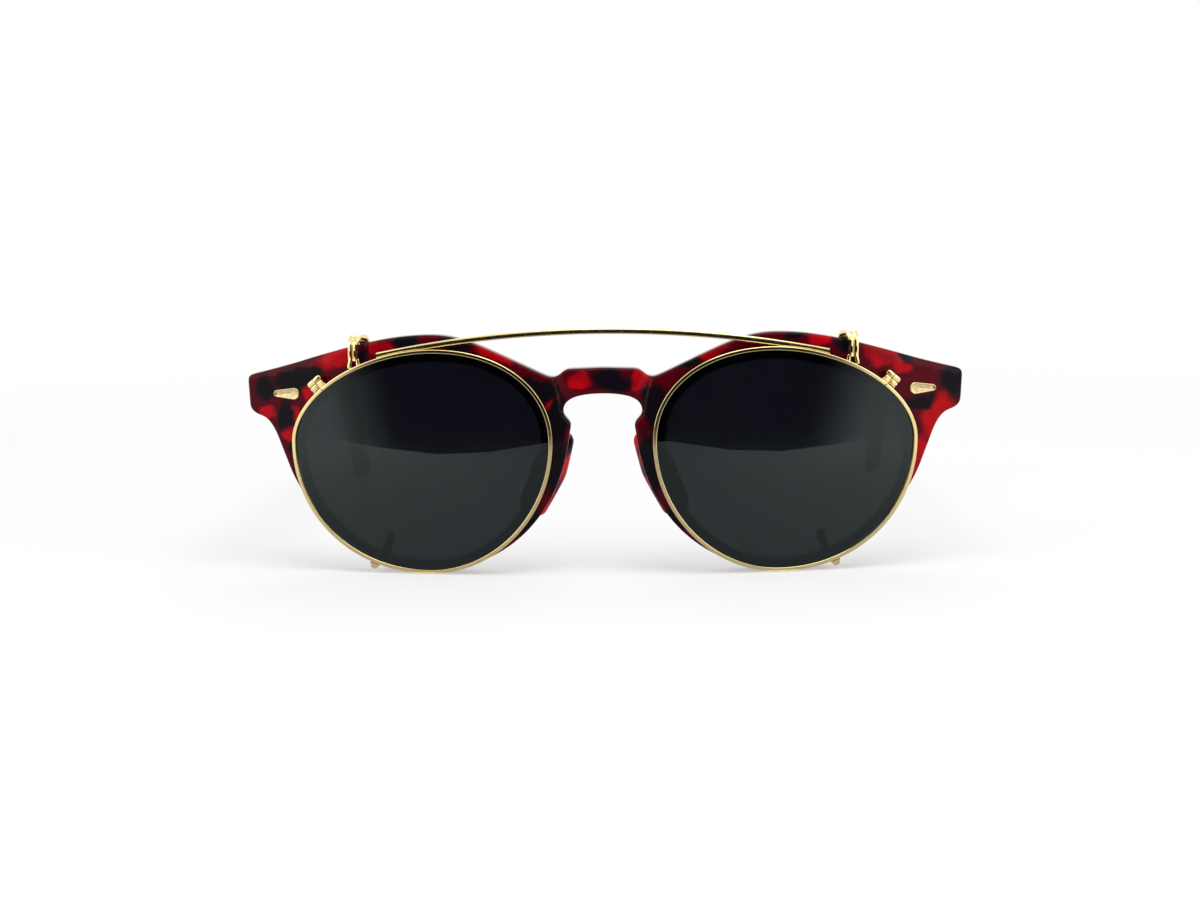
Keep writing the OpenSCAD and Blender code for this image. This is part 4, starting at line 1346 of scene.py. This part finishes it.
class SPECTACLES_OT_sun_lenses(bpy.types.Operator):
    """Build the two sun lenses"""
    bl_idname = "spectacles.sun_lenses"
    bl_label = "Sun lenses"

    def execute(self, context):
        layout = Layout()
        s = layout.s
        surface = lens_surface(layout, lambda u: layout.sun(u, s.sun_groove),
                               (layout.chin_x, WIDE_Z - 3), layout.sun_r, s.sun_t)
        make_pair("sun_lens", surface, layout, look_for("sun", layout), "sun_clip", "sun_lens", "clip_lens")
        return {"FINISHED"}


class SPECTACLES_OT_brow_bar(bpy.types.Operator):
    """Build the brow bar that joins the two rims"""
    bl_idname = "spectacles.brow_bar"
    bl_label = "Brow bar"

    def execute(self, context):
        layout = Layout()
        make("bar", brow_bar_surface(layout), layout, look_for("gold", layout),
             "sun_clip", "gold_metal", replaces=["brow_bar"])
        return {"FINISHED"}


class SPECTACLES_OT_hooks(bpy.types.Operator):
    """Build the top hooks and their soft sleeves"""
    bl_idname = "spectacles.hooks"
    bl_label = "Top hooks"

    def execute(self, context):
        layout = Layout()
        s = layout.s
        make_pair("hook", hook_surface(layout), layout, look_for("gold", layout),
                  "sun_clip", "gold_metal", "top_hook")
        at = layout.sun(layout.hook_turn, s.rim_w)
        top = layout.brow_z - 2 - at[1] + 1.4
        y = s.front_t + 0.35 + s.sleeve_t + s.hook_t / 2
        boot = boot_surface(s.hook_w + 2 * s.sleeve_t, s.hook_t + 2 * s.sleeve_t,
                            top - 4.2 - s.sleeve_t, top - 1.6, y)
        make_pair("hook_sleeve", boot.moved(layout.on_face(at, s.face_r)), layout,
                  look_for("sleeve", layout), "sun_clip", "sleeve", "top_sleeve")
        return {"FINISHED"}


class SPECTACLES_OT_claws(bpy.types.Operator):
    """Build the bottom claws and their soft sleeves"""
    bl_idname = "spectacles.claws"
    bl_label = "Bottom claws"

    def execute(self, context):
        layout = Layout()
        s = layout.s
        make_pair("claw", claw_surface(layout), layout, look_for("gold", layout),
                  "sun_clip", "gold_metal", "bottom_claw")
        _, y = claw_path(layout)
        boot = boot_surface(s.claw_w + 2 * s.sleeve_t, s.hook_t + 2 * s.sleeve_t,
                            -s.claw_tab - s.sleeve_t, -0.55, y)
        place = layout.on_face(layout.sun(layout.claw_turn, s.rim_w), s.face_r, layout.claw_lean)
        make_pair("claw_sleeve", boot.moved(place), layout,
                  look_for("sleeve", layout), "sun_clip", "sleeve", "bottom_sleeve")
        return {"FINISHED"}


class SPECTACLES_OT_locks(bpy.types.Operator):
    """Build the rim locks and finish their screws"""
    bl_idname = "spectacles.locks"
    bl_label = "Rim locks"

    def execute(self, context):
        layout = Layout()
        gold = look_for("gold", layout)
        make_pair("lock", lock_surface(layout), layout, gold, "sun_clip", "gold_metal", "rim_lock")
        for side in ("left", "right"):
            finish_node(f"rim_lock_screw_{side}", gold)
        return {"FINISHED"}


def finish_node(node, material):
    """Gives a node of the fixed frame its finish."""
    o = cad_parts[node]
    for slot in o.material_slots:
        slot.material = material
    if not o.material_slots:
        o.data.materials.append(material)


def flat_panel(name, corners, material):
    mesh = bpy.data.meshes.new(name)
    mesh.from_pydata(corners, [], [list(range(len(corners)))])
    mesh.materials.append(material)
    panel = bpy.data.objects.new(name, mesh)
    bpy.context.scene.collection.objects.link(panel)
    return panel


def seen_directly(nodes, links):
    """1 for what the camera sees itself, or in a reflection or through glass."""
    path = nodes.new("ShaderNodeLightPath")
    total = None
    for ray in ("Is Camera Ray", "Is Glossy Ray", "Is Transmission Ray"):
        if total is None:
            total = path.outputs[ray]
            continue
        add = nodes.new("ShaderNodeMath")
        add.operation = "MAXIMUM"
        links.new(total, add.inputs[0])
        links.new(path.outputs[ray], add.inputs[1])
        total = add.outputs[0]
    return total


class SPECTACLES_OT_stage(bpy.types.Operator):
    """Set up the pale floor, the soft light and the camera"""
    bl_idname = "spectacles.stage"
    bl_label = "Stage"

    def execute(self, context):
        scene, t = context.scene, context.scene.spectacle_stage
        self.floor()
        self.world(scene)
        self.lamps()
        self.camera(scene, t)
        scene.view_settings.view_transform = "Standard"
        return {"FINISHED"}

    def floor(self):
        material = bpy.data.materials.new("pale_floor")
        material.use_nodes = True
        nodes, links = material.node_tree.nodes, material.node_tree.links
        shader = nodes["Principled BSDF"]
        shader.inputs["Base Color"].default_value = (0.93, 0.93, 0.93, 1)
        shader.inputs["Roughness"].default_value = 0.9
        shader.inputs["Specular IOR Level"].default_value = 0.0
        glow = nodes.new("ShaderNodeEmission")
        mix = nodes.new("ShaderNodeMixShader")
        place = nodes.new("ShaderNodeNewGeometry")
        away = nodes.new("ShaderNodeVectorMath")
        away.operation = "LENGTH"
        links.new(place.outputs["Position"], away.inputs[0])
        level = nodes.new("ShaderNodeMapRange")
        level.interpolation_type = "SMOOTHSTEP"
        for socket, value in (("From Min", 0.1), ("From Max", 0.5), ("To Min", 0.45), ("To Max", 1.0)):
            level.inputs[socket].default_value = value
        links.new(away.outputs["Value"], level.inputs["Value"])
        share = nodes.new("ShaderNodeMath")
        share.operation = "MULTIPLY"
        links.new(seen_directly(nodes, links), share.inputs[0])
        links.new(level.outputs["Result"], share.inputs[1])
        links.new(share.outputs[0], mix.inputs[0])
        links.new(shader.outputs[0], mix.inputs[1])
        links.new(glow.outputs[0], mix.inputs[2])
        links.new(mix.outputs[0], nodes["Material Output"].inputs["Surface"])
        z = -0.0001
        flat_panel("floor", [(-4, -4, z), (4, -4, z), (4, 4, z), (-4, 4, z)], material)
        self.flag()
        self.card()

    def flag(self):
        """A black flag in front, seen only in reflections, with soft slanting sides."""
        material, nodes, links, across, up = self.hidden("studio_flag", (0.012, 0.012, 0.016))
        for slant, low, high in ((0.35, -0.222, -0.140), (-0.35, 0.202, 0.130)):
            side = nodes.new("ShaderNodeMath")
            side.operation = "MULTIPLY_ADD"
            links.new(up, side.inputs[0])
            side.inputs[1].default_value = slant
            links.new(across, side.inputs[2])
            self.fade(nodes, links, side.outputs[0], low, high)
        edge = ((-0.28, 0.010), (-0.20, 0.005), (-0.16, 0.002), (-0.12, 0.0), (-0.08, 0.003), (-0.04, 0.010),
                (0.04, 0.010), (0.08, 0.003), (0.12, 0.0), (0.16, 0.002), (0.20, 0.005), (0.26, 0.010))
        low = [(x, -0.278, z) for x, z in edge]
        self.reflected("flag", [*low, (0.26, -0.278, 0.13), (-0.28, -0.278, 0.13)], material)

    def card(self):
        """A dark card on the floor in front, seen only in reflections, fading to both sides."""
        material, nodes, links, across, _ = self.hidden("studio_card", (0.44, 0.44, 0.47))
        for low, high in ((-0.24, 0.0), (0.22, 0.0)):
            self.fade(nodes, links, across, low, high)
        z = 0.0003
        self.reflected("card", [(-0.26, -1.6, z), (0.24, -1.6, z),
                                (0.24, -0.02, z), (-0.26, -0.02, z)], material)

    def hidden(self, name, colour):
        material = bpy.data.materials.new(name)
        material.use_nodes = True
        nodes, links = material.node_tree.nodes, material.node_tree.links
        nodes.remove(nodes["Principled BSDF"])
        glow = nodes.new("ShaderNodeEmission")
        glow.inputs["Color"].default_value = (*colour, 1)
        links.new(glow.outputs[0], nodes["Material Output"].inputs["Surface"])
        place = nodes.new("ShaderNodeNewGeometry")
        parts = nodes.new("ShaderNodeSeparateXYZ")
        links.new(place.outputs["Position"], parts.inputs[0])
        return material, nodes, links, parts.outputs["X"], parts.outputs["Z"]

    def fade(self, nodes, links, value, low, high):
        """Lets the panel fade from nothing at low to solid at high."""
        out = nodes["Material Output"].inputs["Surface"]
        before = out.links[0].from_socket
        level = nodes.new("ShaderNodeMapRange")
        level.interpolation_type = "SMOOTHSTEP"
        level.inputs["From Min"].default_value, level.inputs["From Max"].default_value = low, high
        links.new(value, level.inputs["Value"])
        clear, mix = nodes.new("ShaderNodeBsdfTransparent"), nodes.new("ShaderNodeMixShader")
        links.new(level.outputs["Result"], mix.inputs[0])
        links.new(clear.outputs[0], mix.inputs[1])
        links.new(before, mix.inputs[2])
        links.new(mix.outputs[0], out)

    def reflected(self, name, corners, material):
        panel = flat_panel(name, corners, material)
        panel.visible_camera = panel.visible_diffuse = panel.visible_shadow = False
        panel.visible_transmission = panel.visible_volume_scatter = False

    def world(self, scene):
        world = scene.world or bpy.data.worlds.new("studio")
        scene.world = world
        world.use_nodes = True
        nodes, links = world.node_tree.nodes, world.node_tree.links
        back = nodes["Background"]
        back.inputs["Color"].default_value = (1, 1, 1, 1)
        level = nodes.new("ShaderNodeMapRange")
        level.inputs["To Min"].default_value = 0.55
        level.inputs["To Max"].default_value = 1.0
        links.new(seen_directly(nodes, links), level.inputs["Value"])
        links.new(level.outputs[0], back.inputs["Strength"])

    def lamps(self):
        for name, place, size, power in (
            ("key", (0.10, -0.25, 0.75), 0.5, 2.6),
            ("fill_left", (-0.65, -0.45, 0.35), 0.5, 1.1),
            ("fill_right", (0.65, -0.45, 0.35), 0.5, 1.1),
            ("back", (0.0, 0.55, 0.55), 0.5, 1.0),
        ):
            data = bpy.data.lights.new(name, "AREA")
            data.energy, data.size = power, size
            lamp = bpy.data.objects.new(name, data)
            lamp.location = place
            aim = Vector((0, 0, 0.02)) - Vector(place)
            lamp.rotation_mode = "QUATERNION"
            lamp.rotation_quaternion = aim.to_track_quat("-Z", "Y")
            bpy.context.scene.collection.objects.link(lamp)

    def camera(self, scene, t):
        turn, height, roll = t.camera_turn, t.camera_height, t.camera_roll
        back = Vector((math.sin(turn) * math.cos(height),
                       -math.cos(turn) * math.cos(height), math.sin(height)))
        right = Vector((math.cos(turn), math.sin(turn), 0))
        up = back.cross(right)
        x = math.cos(roll) * right + math.sin(roll) * up
        y = -math.sin(roll) * right + math.cos(roll) * up
        aim = Vector((t.aim_x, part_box("front")[0].y - 0.00012, t.aim_z))
        data = bpy.data.cameras.new("camera")
        data.sensor_width, data.lens = 36, t.focal
        data.clip_start, data.clip_end = 0.01, 20
        camera = bpy.data.objects.new("camera", data)
        basis = Matrix((x, y, back)).transposed().to_4x4()
        camera.matrix_world = Matrix.Translation(aim + back * t.camera_distance) @ basis
        scene.collection.objects.link(camera)
        scene.camera = camera


class SPECTACLES_PT_panel(bpy.types.Panel):
    bl_idname = "SPECTACLES_PT_panel"
    bl_label = "Spectacles"
    bl_space_type = "VIEW_3D"
    bl_region_type = "UI"
    bl_category = "Spectacles"

    def draw(self, context):
        for attribute in (*SIZE_GROUPS, "spectacle_finishes", "spectacle_stage"):
            box = self.layout.box()
            group = getattr(context.scene, attribute)
            for name in type(group).__annotations__:
                box.prop(group, name)
        for operator in OPERATORS:
            self.layout.operator(operator.bl_idname)


OPERATORS = (
    SPECTACLES_OT_stage, SPECTACLES_OT_front, SPECTACLES_OT_nose_pads, SPECTACLES_OT_clear_lenses,
    SPECTACLES_OT_plaques, SPECTACLES_OT_hinges, SPECTACLES_OT_temples, SPECTACLES_OT_rims,
    SPECTACLES_OT_sun_lenses, SPECTACLES_OT_brow_bar, SPECTACLES_OT_hooks, SPECTACLES_OT_claws,
    SPECTACLES_OT_locks,
)
GROUPS = {**SIZE_GROUPS, "spectacle_finishes": Finishes, "spectacle_stage": StageSettings}


def register():
    for cls in (*GROUPS.values(), *OPERATORS, SPECTACLES_PT_panel):
        bpy.utils.register_class(cls)
    for attribute, group in GROUPS.items():
        setattr(bpy.types.Scene, attribute, PointerProperty(type=group))


def unregister():
    for attribute in GROUPS:
        delattr(bpy.types.Scene, attribute)
    for cls in (SPECTACLES_PT_panel, *reversed(OPERATORS), *GROUPS.values()):
        bpy.utils.unregister_class(cls)


def main():
    register()
    for operator in OPERATORS:
        group, name = operator.bl_idname.split(".")
        getattr(getattr(bpy.ops, group), name)()


if __name__ == "__main__":
    main()
